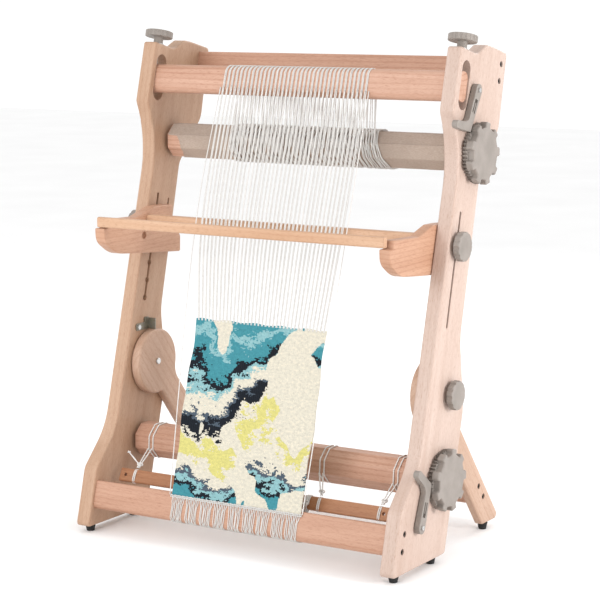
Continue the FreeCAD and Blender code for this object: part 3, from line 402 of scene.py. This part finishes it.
NODE_LOOKS = {
    "panel": ["side_panel_right"],
    "panel_painted_shade": ["side_panel_left"],
    "leg": ["leg_left", "leg_right"],
    "rail": ["front_crossbar", "top_rear_rail", "leg_crossbar"],
    "beam": ["top_beam", "upper_roller_core", "lower_roller_core"],
    "bracket": ["leash_bracket_left", "leash_bracket_right"],
    "bar": ["front_leash_bar", "shed_bar"],
    "stick": ["apron_stick"],
    "plastic": ["upper_ratchet_wheel", "lower_ratchet_wheel", "upper_pawl", "lower_pawl", "tension_knob_left",
                "tension_knob_right", "leash_knob_left", "leash_knob_right", "leg_knob_left",
                "leg_knob_right", "roller_bushes"],
    "zinc": ["tension_rod_left", "tension_rod_right", "tension_washers", "pawl_screws", "latch_screws",
             "leg_pivot_bolts", "leash_studs", "leash_guide_pins", "frame_barrel_nuts", "leg_barrel_nuts",
             "beam_thread_inserts", "upper_wheel_pin", "lower_wheel_pin", "upper_pawl_spring",
             "lower_pawl_spring"],
    "black": ["frame_bolts", "leg_bolts"],
    "latch": ["leg_latch_left", "leg_latch_right"],
    "rubber": ["panel_feet", "leg_feet"],
}


def finish_nodes():
    """Give each CAD node its material."""
    for look, nodes in NODE_LOOKS.items():
        for node in nodes:
            slots = frame["nodes"][node].data.materials
            for index in range(len(slots)):
                slots[index] = MATERIALS[look]


# ---- strands ---------------------------------------------------------------------------------
def resampled(points, step):
    """Points every `step` or a little less along a line of points."""
    line = [points[0]]
    for start, end in zip(points, points[1:]):
        pieces = max(1, math.ceil((end - start).length / step))
        line += [start.lerp(end, (i + 1) / pieces) for i in range(pieces)]
    return line


def split_first_run(path, pieces):
    """The path's (across, up) points after its first, with more of them along its first run."""
    (a, b), (c, d) = path[0], path[1]
    first = [(a + (c - a) * i / pieces, b + (d - b) * i / pieces) for i in range(1, pieces)]
    return first + path[1:]


def frames_along(points, closed=False):
    """A normal and a binormal at each point, carried along without twisting."""
    count = len(points)
    tangents = []
    for i in range(count):
        before = points[i - 1] if closed or i else points[i]
        after = points[(i + 1) % count] if closed or i < count - 1 else points[i]
        tangents.append((after - before).normalized())
    normal = tangents[0].orthogonal().normalized()
    frames = []
    for tangent in tangents:
        normal = (normal - tangent * normal.dot(tangent)).normalized()
        frames.append((normal, tangent.cross(normal)))
    return frames


class Strands:
    """Many round strands gathered into one mesh piece."""

    def __init__(self):
        self.points, self.faces, self.uvs = [], [], []

    def add(self, line, radius, sides=7, closed=False, taper=0):
        """One strand along the points; `taper` points at each end narrow to a tip."""
        first = len(self.points)
        count = len(line)
        frames = frames_along(line, closed)
        for i, (point, (normal, side)) in enumerate(zip(line, frames)):
            near = min(i, count - 1 - i)
            size = radius * (0.25 + 0.75 * near / taper) if near < taper else radius
            for j in range(sides):
                angle = 2 * math.pi * j / sides
                self.points.append(point + (normal * math.cos(angle) + side * math.sin(angle)) * size)
        lengths = [0.0]
        for start, end in zip(line, line[1:] + line[:1]):
            lengths.append(lengths[-1] + (end - start).length)
        for i in range(count if closed else count - 1):
            for j in range(sides):
                right = (j + 1) % sides
                ahead = (i + 1) % count
                self.faces.append([first + i * sides + j, first + i * sides + right,
                                   first + ahead * sides + right, first + ahead * sides + j])
                turns = [(j / sides, lengths[i]), ((j + 1) / sides, lengths[i]),
                         ((j + 1) / sides, lengths[i + 1]), (j / sides, lengths[i + 1])]
                self.uvs.append(turns)
        if not closed:
            last = first + (count - 1) * sides
            self.faces.append([first + j for j in reversed(range(sides))])
            self.faces.append([last + j for j in range(sides)])
            self.uvs += [[(0.0, 0.0)] * sides, [(0.0, 0.0)] * sides]

    def add_laid(self, line, radius, plies=3, pitch=0.009, step=0.0011, closed=False):
        """A cord laid from plies that really twist round each other."""
        line = resampled(line + line[:1] if closed else line, step)
        if closed:
            line = line[:-1]
        frames = frames_along(line, closed)
        length = sum((b - a).length for a, b in zip(line, line[1:]))
        turns = max(1, round(length / pitch))
        ply = radius * 0.52              # plies a little over half the cord, so that they touch
        for k in range(plies):
            path = []
            for i, (point, (normal, side)) in enumerate(zip(line, frames)):
                angle = 2 * math.pi * (k / plies + turns * i / len(line))
                path.append(point + (normal * math.cos(angle) + side * math.sin(angle)) * (radius - ply))
            self.add(path, ply, 6, closed)

    def build(self, name, look, slot, body=None):
        mesh = new_mesh(name, self.points, self.faces, MATERIALS[look])
        layer = mesh.uv_layers.new(name="UVMap")
        flat = [pair for face in self.uvs for pair in face]
        layer.data.foreach_set("uv", [value for pair in flat for value in pair])
        mesh.polygons.foreach_set("use_smooth", [True] * len(mesh.polygons))
        mesh.validate()
        piece = new_object(name, mesh)
        if body:
            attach(piece, body)
        return piece


def arc(middle, radius, start, end, steps):
    """(across, up) points of an arc, in degrees from the front."""
    made = []
    for i in range(steps + 1):
        angle = math.radians(start + (end - start) * i / steps)
        made.append((middle[0] + radius * math.cos(angle), middle[1] + radius * math.sin(angle)))
    return made


def softened(points, closed=False, rounds=2):
    """Corner-cutting, for cord that turns without a sharp fold."""
    for _ in range(rounds):
        cut = [] if closed else [points[0]]
        pairs = zip(points, points[1:] + points[:1]) if closed else zip(points, points[1:])
        for start, end in pairs:
            cut += [start.lerp(end, 0.25), start.lerp(end, 0.75)]
        if not closed:
            cut.append(points[-1])
        points = cut
    return points


def knot(middle, size, turn):
    """Closed line of a small trefoil, for a tied knot."""
    made = []
    steps = 42
    for i in range(steps):
        t = 2 * math.pi * i / steps
        point = Vector((math.sin(t) + 2 * math.sin(2 * t), math.cos(t) - 2 * math.cos(2 * t),
                        -1.4 * math.sin(3 * t)))
        made.append(middle + (turn @ (point * (size / 3))))
    return made


# ---- warp ------------------------------------------------------------------------------------
FELL_UP = CLOTH_LOW + CLOTH_TALL
FELL_TUCK = 0.004                        # how far the warp goes under the cloth's top edge
LEASH_OUT = 0.004                        # its distance there, out from the plane of the crossbar's face
BEAM_FOOT = -0.018                       # where it first lies on the beam's front
BEAM_BACK_FOOT = -0.014                  # where it leaves the beam's back
BACK_TOP = -0.012                        # where the run behind starts, a little above that
FRONT_STEP = 0.02                        # between an end's points in front
BACK_PIECES = 10                         # pieces of the run behind

PAIR = (-0.5, 0.5)                       # its two ends, as shares of these distances between them
PAIR_AT_FELL = 0.0022
PAIR_AT_LEASH = 0.0024
PAIR_ON_BEAM = 0.0025
PAIR_BEHIND = 0.0030
PAIR_ON_ROLLER = 0.004


def warp_shares():
    return [(i + 0.5) / ENDS for i in range(ENDS)]


def front_end(low, middle, high, low_up):
    """One end in front: from the cloth over the leash bars to the beam."""
    corner = on_warp(middle, LEASH_UP, LEASH_OUT)
    line = softened([on_warp(low, low_up), corner, on_beam(high, BEAM_HALF + THREAD, BEAM_FOOT)], rounds=3)
    return resampled(line, FRONT_STEP)


def build_front_warp():
    """Stretched warp in front, from the cloth's fell to the beam."""
    strands = Strands()
    for share in warp_shares():
        for side in PAIR:
            wander = random.uniform(-0.0006, 0.0006)
            low = spread(FELL_SPREAD, share) + side * PAIR_AT_FELL
            middle = spread(LEASH_SPREAD, share) + side * PAIR_AT_LEASH + wander
            high = spread(BEAM_SPREAD, share) + side * PAIR_ON_BEAM + wander
            strands.add(front_end(low, middle, high, FELL_UP - FELL_TUCK), THREAD)
    piece = strands.build("front_warp_ends", "warp", "warp_cotton")
    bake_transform(piece)
    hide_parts("front_warp")


def build_beam_warp():
    """Warp up the beam's front, over it and down its back."""
    strands = Strands()
    out = BEAM_HALF + THREAD
    flat = BEAM_HALF - BEAM_ROUND
    top = BEAM_TOP - BEAM_ROUND
    path = [(out, BEAM_FOOT), (out, 0.0)] + arc((flat, top), BEAM_ROUND + THREAD, 0, 90, 7)
    path += arc((-flat, top), BEAM_ROUND + THREAD, 90, 180, 7) + [(-out, 0.0), (-out, BEAM_BACK_FOOT)]
    for share in warp_shares():
        for side in PAIR:
            lag = random.uniform(-0.0012, 0.0012)
            front = spread(BEAM_SPREAD, share) + side * PAIR_ON_BEAM
            back = spread(BEHIND_SPREAD, share) + side * PAIR_BEHIND + lag
            line = []
            for i, (across, up) in enumerate(path):
                line.append(on_beam(spread((front, back), i / (len(path) - 1)), across, up))
            strands.add(line, THREAD)
    piece = strands.build("beam_warp_ends", "warp", "warp_cotton", "beam")
    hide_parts("beam_warp")


WOUND_FLAT = 0.0365                      # from the roller's axis to the wound warp's flats


def octagon_reach(degrees, flat, corner):
    """Distance from an octagon's middle to its outline, its corners cut off at `corner`."""
    side = 45
    away = (degrees + side / 2) % side - side / 2
    return min(flat / math.cos(math.radians(away)), corner)


def roller_point(centre, x, degrees, flat, corner=1.06):
    """Point on an octagon round a roller's axis, its corners at most `corner` times its flats' distance."""
    reach = octagon_reach(degrees, flat, flat * corner)
    angle = math.radians(degrees)
    return Vector((x, centre.y + reach * math.cos(angle), centre.z + reach * math.sin(angle)))


def build_back_warp():
    """Warp from behind the beam down to the upper roller."""
    strands = Strands()
    out = BEAM_HALF + THREAD
    for share in warp_shares():
        for side in PAIR:
            high = spread(BEHIND_SPREAD, share) + side * PAIR_BEHIND
            low = spread(ROLLER_SPREAD, share) + side * PAIR_ON_ROLLER + random.uniform(-0.003, 0.003)
            start = on_beam(high, -out, BACK_TOP)
            end = roller_point(UPPER, low + MIDDLE_X, 180, WOUND_FLAT + 0.003)
            strands.add([start.lerp(end, i / BACK_PIECES) for i in range(BACK_PIECES + 1)], THREAD)
    piece = strands.build("back_warp_ends", "warp", "warp_cotton")
    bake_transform(piece)
    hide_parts("back_warp")


WOUND_LAYERS = 2
WOUND_PER_PAIR = 2
WOUND_APART = 0.0044                     # between the turns of one pair
WOUND_PILE = 1.6                         # between layers, in radii
WOUND_STEPS = 40                         # points round the roller
SLANT = 0.017                            # how far the last turns slant to the right
SLANT_FROM = 0.8                         # share of the width where the slant begins


def build_wound_warp():
    """Turns of warp on the upper roller, askew, the last ones slanting outwards."""
    strands = Strands()
    radius = THREAD * 0.95
    for layer in range(WOUND_LAYERS):
        flat = WOUND_FLAT + radius * (1.0 + WOUND_PILE * layer)
        for share in warp_shares():
            for k in range(WOUND_PER_PAIR):
                apart = (k - (WOUND_PER_PAIR - 1) / 2) * WOUND_APART
                middle = spread(ROLLER_SPREAD, share) + MIDDLE_X + apart + random.uniform(-0.0016, 0.0016)
                skew, phase = random.uniform(0.0006, 0.0075), random.uniform(0, 2 * math.pi)
                slant = SLANT * max(0.0, (share - SLANT_FROM) / (1 - SLANT_FROM))
                line = []
                for i in range(WOUND_STEPS):
                    angle = 2 * math.pi * i / WOUND_STEPS
                    x = middle + skew * math.sin(angle + phase) - slant * (math.sin(angle) - 0.6)
                    line.append(roller_point(UPPER, x, math.degrees(angle), flat))
                strands.add(line, radius, 6, closed=True)
    piece = strands.build("wound_warp_turns", "warp", "warp_cotton", "upper_roller")
    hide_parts("wound_warp")


SELVEDGES = ((-0.158, -0.196, -0.177), (0.159, 0.172, 0.178))    # at the cloth, the leash and the beam


def build_selvedges():
    """One end at each side of the cloth, from its lower corner to the beam."""
    strands = Strands()
    for low, middle, high in SELVEDGES:
        strands.add(front_end(low, middle, high, CLOTH_LOW), THREAD)
    piece = strands.build("selvedge_ends", "warp", "warp_cotton")
    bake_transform(piece)


# ---- cardboard ---------------------------------------------------------------------------------
CARD_STEP = 2.5                          # degrees
CARD_STATIONS = 90
CARD_THICK = 0.0007
CARD_CORNER = 1.078                      # how far out its corners are, over its flats
INNER_FLAT, OUTER_FLAT = 0.0353, 0.0361
SEAM = 160                               # the outer turn's free edge, degrees from the back
OUTER_TURN = 200                         # degrees that the outer turn covers, down from there
TOP_FROM = 5                             # where the inner turn's long top begins
INNER_LEFT, OUTER_LEFT = -0.336, -0.307
CARD_RIGHT = 0.336
LIFT = 0.0021                            # how far the free edge stands off
LIFT_WAVE = 0.0004
LIFT_RIGHT = 0.0016                      # how much more it does so at the right
LIFT_RIGHT_FROM, LIFT_RIGHT_WIDE = 0.15, 0.14
LIFT_FADE = 12                           # degrees over which that dies away


def outer_left(degrees):
    """Ragged cut that shows the roller's end below the seam."""
    return OUTER_LEFT - 0.005 * math.sin(math.radians(degrees * 3)) + random.uniform(-0.0012, 0.0012)


def inner_left(degrees):
    """The inner turn reaches further left along its top than under the outer one."""
    if TOP_FROM <= degrees <= SEAM:
        return INNER_LEFT + random.uniform(-0.0005, 0.0005)
    return outer_left(degrees) + 0.001


def outer_flat(degrees, x):
    """The outer turn stands off towards its free edge, more at the right."""
    right = min(1.0, max(0.0, (x - LIFT_RIGHT_FROM) / LIFT_RIGHT_WIDE))
    lift = LIFT + LIFT_WAVE * math.sin(40 * x) + LIFT_RIGHT * smooth(right)
    return OUTER_FLAT + lift * math.exp(-(degrees - SEAM) / LIFT_FADE)


def card_turn(angles, left_of, flat_of, closed):
    """Points and faces of one turn of card, with its thickness."""
    points, faces = [], []
    rows, columns = len(angles), CARD_STATIONS + 1
    lefts = [left_of(degrees) for degrees in angles]
    for thick in (0.0, CARD_THICK):
        for degrees, left in zip(angles, lefts):
            for j in range(columns):
                x = left + (CARD_RIGHT - left) * j / CARD_STATIONS
                flat = flat_of(degrees, x) - thick + 0.00012 * math.sin(90 * x + degrees / 20)
                points.append(roller_point(UPPER, x + MIDDLE_X, degrees, flat, CARD_CORNER))
    size = rows * columns
    for i in range(rows if closed else rows - 1):
        ahead = (i + 1) % rows
        for j in range(CARD_STATIONS):
            a, b = i * columns + j, ahead * columns + j
            faces.append((a, a + 1, b + 1, b))
            faces.append((size + a, size + b, size + b + 1, size + a + 1))
        for j, flip in ((0, False), (CARD_STATIONS, True)):
            a, b = i * columns + j, ahead * columns + j
            rim = (a, b, size + b, size + a)
            faces.append(rim[::-1] if flip else rim)
    if not closed:
        for row, flip in ((0, False), (rows - 1, True)):
            for j in range(CARD_STATIONS):
                a = row * columns + j
                rim = (a, a + 1, size + a + 1, size + a)
                faces.append(rim[::-1] if flip else rim)
    return points, faces


def build_cardboard():
    """Cardboard round the upper roller: one full turn, and a part turn over its lower half."""
    inner_angles = [CARD_STEP * i for i in range(int(360 / CARD_STEP))]
    outer_angles = [SEAM + CARD_STEP * i for i in range(int(OUTER_TURN / CARD_STEP) + 1)]
    inner = card_turn(inner_angles, inner_left, lambda degrees, x: INNER_FLAT, closed=True)
    outer = card_turn(outer_angles, outer_left, outer_flat, closed=False)
    offset = len(inner[0])
    faces = inner[1] + [tuple(index + offset for index in face) for face in outer[1]]
    mesh = new_mesh("cardboard_roll", inner[0] + outer[0], faces, MATERIALS["cardboard"])
    graph = bmesh.new()
    graph.from_mesh(mesh)
    bmesh.ops.recalc_face_normals(graph, faces=graph.faces)
    graph.to_mesh(mesh)
    graph.free()
    roll = new_object("cardboard_roll", mesh)
    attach(roll, "upper_roller")
    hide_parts("cardboard_wrap")


# ---- cloth -----------------------------------------------------------------------------------
RIBS, PICKS = 68, 150
RIB_COLUMNS = 4                          # columns of points across one rib
CLOTH_FRONT, CLOTH_BACK = 0.0019, 0.0008    # its two faces, out from the crossbar's face, without relief
EDGE_SHARE = 0.12                        # share of the width that an uneven edge moves
RIB_RELIEF, BEAT_RELIEF = 0.00055, 0.00022
BILLOW = 0.0004                          # slow waves in its thickness
BACK_RELIEF = 0.3                        # share of the relief that the back has
TOP_WAVE = 0.0012                        # unevenness of the fell


def edge_pull(share):
    """How much a point moves with the edge that it is `share` of the width away from."""
    return max(0.0, 1 - share / EDGE_SHARE)


def build_cloth():
    """Ribbed weft-faced cloth, closed front to back, its edges a little uneven."""
    columns, rows = RIBS * RIB_COLUMNS + 1, PICKS + 1
    points, uvs = [], []
    for back in (0, 1):
        for r in range(rows):
            v = r / (rows - 1)
            draw = 0.0020 * math.sin(9 * v) + 0.0012 * math.sin(23 * v + 1.0)
            for c in range(columns):
                u = c / (columns - 1)
                x = spread((CLOTH_LEFT, CLOTH_RIGHT), u) + draw * (edge_pull(u) - edge_pull(1 - u))
                rib = abs(math.sin(math.pi * RIBS * u))
                beat = 0.5 + 0.5 * math.cos(math.pi * r + math.pi * math.floor(RIBS * u))
                relief = RIB_RELIEF * rib + BEAT_RELIEF * beat
                relief += BILLOW * math.sin(6 * u + 3 * v) * math.sin(5 * v)
                out = CLOTH_BACK - relief * BACK_RELIEF if back else CLOTH_FRONT + relief
                up = CLOTH_LOW + CLOTH_TALL * v + TOP_WAVE * math.sin(31 * u) * v
                points.append(on_warp(x, up, out))
                uvs.append((u, v))
    faces = []
    size = columns * rows
    for r in range(rows - 1):
        for c in range(columns - 1):
            a = r * columns + c
            faces.append((a, a + 1, a + columns + 1, a + columns))
            faces.append((size + a, size + a + columns, size + a + columns + 1, size + a + 1))
    for c in range(columns - 1):
        top = (rows - 1) * columns + c
        faces.append((c + 1, c, size + c, size + c + 1))
        faces.append((top, top + 1, size + top + 1, size + top))
    for r in range(rows - 1):
        left, right = r * columns, (r + 1) * columns - 1
        faces.append((left, left + columns, size + left + columns, size + left))
        faces.append((right + columns, right, size + right, size + right + columns))
    mesh = new_mesh("tapestry_cloth", points, faces, MATERIALS["cloth"])
    layer = mesh.uv_layers.new(name="UVMap")
    for loop in mesh.loops:
        layer.data[loop.index].uv = uvs[loop.vertex_index]
    mesh.polygons.foreach_set("use_smooth", [True] * len(mesh.polygons))
    cloth = new_object("tapestry_cloth", mesh)
    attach(cloth, "root")
    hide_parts("tapestry")


# ---- lower warp, tied to the stick ---------------------------------------------------------
BUNCHES = 9
PER_BUNCH = 8
BUNCH_SPREAD = (-0.137, 0.139)           # the outermost bunches at the stick
UNDER_APART = 0.0034                     # between the ends of a bunch under the crossbar
UNDER_OUT = 0.0012                       # from the crossbar to their middles
UNDER_WAVE = 0.0007
TIED_APART = 0.0014                      # between them at the stick
HEAP = 0.0011                            # how much further every second end stands off the stick
FRINGE_APART = 0.0009                    # between them below its knot
DRAWN_POINTS = 8                         # points over which a bunch is drawn together
BUNCH_KNOT, BUNCH_KNOT_THICK = 0.0062, 0.0019
STICK_HALF_THICK, STICK_HALF_WIDE = 0.005, 0.014
STICK_FACE = 0.010                       # half the flat of its face


def on_stick(x, across, up):
    """Point `across` in front of the apron stick's middle and `up` along its width."""
    return leaned(STICK_MID, across, up, STICK_LEAN, x)


def under_crossbar(out):
    """(across, up) points down the crossbar's face and round under it."""
    low = -CROSSBAR_TALL / 2
    edge, rear = 0.012, 0.004
    path = [(CROSSBAR_HALF + out, CLOTH_LOW + 0.004), (CROSSBAR_HALF + out, 0.004)]
    path += arc((CROSSBAR_HALF - edge, low + edge), edge + out, 0, -90, 6)
    path += arc((-CROSSBAR_HALF + rear, low + rear), rear + out, -90, -150, 3)
    return path


def bunch_end(path, high, low, tied, k, j):
    """End `k` of bunch `j`: over the crossbar, under it and round the stick."""
    line = [leaned(CROSSBAR_MID, *path[0], WARP_LEAN, high)]
    for i, (across, up) in enumerate(split_first_run(path, 7)):
        drawn = smooth(min(1.0, i / DRAWN_POINTS))
        wave = UNDER_WAVE * math.sin(i * 1.3 + k * 2.1 + j)
        line.append(leaned(CROSSBAR_MID, across, up, WARP_LEAN, spread((high, low), drawn) + wave))
    heap = HEAP * (k % 2)
    face = STICK_HALF_THICK + 0.0015 + heap
    stick = [(0.004 + heap, -STICK_HALF_WIDE - 0.0022), (-face, -STICK_FACE), (-face, STICK_FACE),
             (0.0, STICK_HALF_WIDE + 0.0020 + heap), (face, STICK_FACE), (face + 0.0005, -0.004)]
    line += [on_stick(tied, across, up) for across, up in stick]
    return softened(line, rounds=1)


def fringe_end(start):
    """One loose end that falls from a knot."""
    fall = Vector((random.uniform(-0.010, 0.010), random.uniform(-0.004, 0.006),
                   -random.uniform(0.018, 0.034)))
    bend = start + Vector((fall.x * 0.3, -0.003, fall.z * 0.3))
    return softened([start, bend, start + fall * 0.7, start + fall])


def build_lower_warp():
    """Warp below the cloth: bunched over the crossbar, drawn together and knotted round the stick."""
    strands = Strands()
    path = under_crossbar(UNDER_OUT)
    for j in range(BUNCHES):
        gathered = spread(BUNCH_SPREAD, j / (BUNCHES - 1)) + random.uniform(-0.002, 0.002)
        for k in range(PER_BUNCH):
            high = spread(FELL_SPREAD, (j * PER_BUNCH + k + 0.5) / (BUNCHES * PER_BUNCH))
            off = k - (PER_BUNCH - 1) / 2
            low = gathered + off * UNDER_APART + random.uniform(-0.0009, 0.0009)
            strands.add(bunch_end(path, high, low, gathered + off * TIED_APART, k, j), THREAD * 0.9)
        turn = Matrix.Rotation(random.uniform(0, 3), 3, "X") @ Matrix.Rotation(random.uniform(0, 3), 3, "Z")
        middle = on_stick(gathered, STICK_HALF_THICK + 0.006, -0.004)
        strands.add(knot(middle, BUNCH_KNOT, turn), BUNCH_KNOT_THICK, closed=True)
        for k in range(PER_BUNCH):
            off = k - (PER_BUNCH - 1) / 2
            start = on_stick(gathered + off * FRINGE_APART, STICK_HALF_THICK + 0.007, -0.006)
            strands.add(fringe_end(start), THREAD * 0.8, 6, taper=3)
    add_twining(strands)
    piece = strands.build("lower_warp_bunches", "warp", "warp_cotton", "root")
    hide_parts("lower_warp")


def add_twining(strands):
    """Two laid cords across the warp, just below the cloth."""
    steps = 120
    for drop, out in ((0.0005, 0.0030), (0.0035, 0.0024)):
        row = []
        for i in range(steps + 1):
            x = spread((CLOTH_LEFT - 0.001, CLOTH_RIGHT + 0.001), i / steps)
            row.append(on_warp(x, CLOTH_LOW - drop + 0.0006 * math.sin(i * 1.7), out))
        strands.add_laid(row, 0.0014, plies=2, pitch=0.0085, step=0.0016)


# ---- cord ties between the stick and the lower roller ----------------------------------------
TIES = ((-0.296, -0.288), (-0.100, -0.100), (0.128, 0.163), (0.298, 0.301))    # x at roller and stick
CORD = 0.0015                            # its radius
ROLLER_FLAT = 0.0345
TURN_APART = 0.010                       # between a tie's two turns on the roller
LOOP_APART = 0.0036                      # between its two loops on the stick
RUN_APART = 0.009                        # between its two runs at the roller
RUN_ANGLE = 196                          # where they leave the roller, degrees from the back
RING_STEPS = 48                          # points round the roller
TAIL = Vector((-0.024, -0.006, 0.022))   # from the knot to the left tie's loose end
TAIL_KNOT = Vector((-0.024, -0.006, 0.026))


def add_knot(strands, middle, size, turn, radius):
    strands.add_laid(softened(knot(middle, size, turn), closed=True, rounds=1), radius, closed=True)


def add_tail(strands, start):
    """Two loose ends with a small knot at their tips."""
    for reach in (1.0, 0.7):
        tail = [start + TAIL * (reach * share) + Vector((0, 0, sag))
                for share, sag in ((0.0, 0.0), (0.35, -0.001), (0.7, 0.002), (1.0, 0.004 * reach))]
        strands.add_laid(softened(tail), CORD * 0.9)
    add_knot(strands, start + TAIL_KNOT, 0.0028, Matrix.Rotation(0.4, 3, "Y"), CORD * 0.7)


def build_ties():
    """Turns round the roller, loops round the stick, and a doubled run and a knot between them."""
    turns, runs = Strands(), Strands()
    face, edge = STICK_HALF_THICK + CORD, STICK_HALF_WIDE + CORD
    stick_ring = [(face, -STICK_FACE), (face, STICK_FACE), (0.0, edge),
                  (-face, STICK_FACE), (-face, -STICK_FACE), (0.0, -edge)]
    for number, (at_roller, at_stick) in enumerate(TIES):
        for side in PAIR:
            ring = []
            for i in range(RING_STEPS):
                x = at_roller + MIDDLE_X + side * TURN_APART + 0.0012 * math.sin(2 * math.pi * i / RING_STEPS)
                ring.append(roller_point(LOWER, x, 360 / RING_STEPS * i, ROLLER_FLAT + CORD))
            turns.add_laid(ring, CORD, closed=True)
        for side in PAIR:
            loop = [on_stick(at_stick + side * LOOP_APART, across, up) for across, up in stick_ring]
            runs.add_laid(softened(loop, closed=True), CORD, closed=True)
        foot = on_stick(at_stick, 0.001, STICK_HALF_WIDE + 3 * CORD)
        for side in PAIR:
            x = at_roller + MIDDLE_X + side * RUN_APART
            top = roller_point(LOWER, x, RUN_ANGLE, ROLLER_FLAT + 3 * CORD)
            runs.add_laid([foot + Vector((side * RUN_APART * 0.4, 0, 0)), top], CORD)
        knotted = foot.lerp(top, 0.16)
        add_knot(runs, knotted, 0.0056, Matrix.Rotation(1.3, 3, "X"), CORD)
        if number == 0:
            add_tail(runs, knotted)
    wraps = turns.build("tie_cord_turns", "cord", "cord_cotton", "lower_roller")
    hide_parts("tie_cord_wraps")
    tied = runs.build("tie_cord_lines", "cord", "cord_cotton", "root")
    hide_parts("tie_cord_runs")


# ---- stage -----------------------------------------------------------------------------------
FOCAL, SENSOR = 119.79, 36.0             # millimetres
CAMERA_AT = (2.1416, -3.2606, 1.1175)
CAMERA_AIM = (0.15477, 0.0, 0.53239)
FLOOR_HALF = 12.0
WORLD_STRENGTH = 1.06
LIGHT_AIM = (0, 0, 0.45)
LIGHTS = (                               # name, place, size, power
    ("key", (3.0, 0.0, 0.95), 0.6, 42.0),
    ("fill", (-0.9, -3.4, 1.7), 1.6, 54.0),
    ("back", (0.3, 3.2, 2.2), 2.0, 40.0),
)


def look_at(thing, target):
    direction = target - thing.location
    thing.rotation_euler = direction.to_track_quat("-Z", "Y").to_euler()


def build_camera():
    lens = bpy.data.cameras.new("camera")
    lens.lens = FOCAL
    lens.sensor_width = SENSOR
    lens.clip_end = 100.0
    camera = new_object("camera", lens)
    camera.location = place(*CAMERA_AT)
    look_at(camera, place(*CAMERA_AIM))
    bpy.context.scene.camera = camera


def build_light(name, location, size, power):
    data = bpy.data.lights.new(name, "AREA")
    data.size = size
    data.energy = power
    light = new_object(name, data)
    light.location = location
    look_at(light, Vector(LIGHT_AIM))


def build_stage():
    """A wide pale floor, a white world and three soft lights."""
    corners = [(FLOOR_HALF * x, FLOOR_HALF * y, 0) for x, y in ((-1, -1), (1, -1), (1, 1), (-1, 1))]
    floor = new_object("floor", new_mesh("floor", corners, [(0, 1, 2, 3)], plain_floor()))
    world = bpy.data.worlds.new("studio")
    bpy.context.scene.world = world
    world.use_nodes = True
    background = world.node_tree.nodes["Background"].inputs
    background["Color"].default_value = (1.0, 1.0, 1.0, 1.0)
    background["Strength"].default_value = WORLD_STRENGTH
    bpy.context.scene.view_settings.view_transform = "Standard"
    for light in LIGHTS:
        build_light(*light)


build_camera()
build_stage()
finish_nodes()
build_front_warp()
build_beam_warp()
build_back_warp()
build_wound_warp()
build_selvedges()
build_cardboard()
build_cloth()
build_lower_warp()
build_ties()
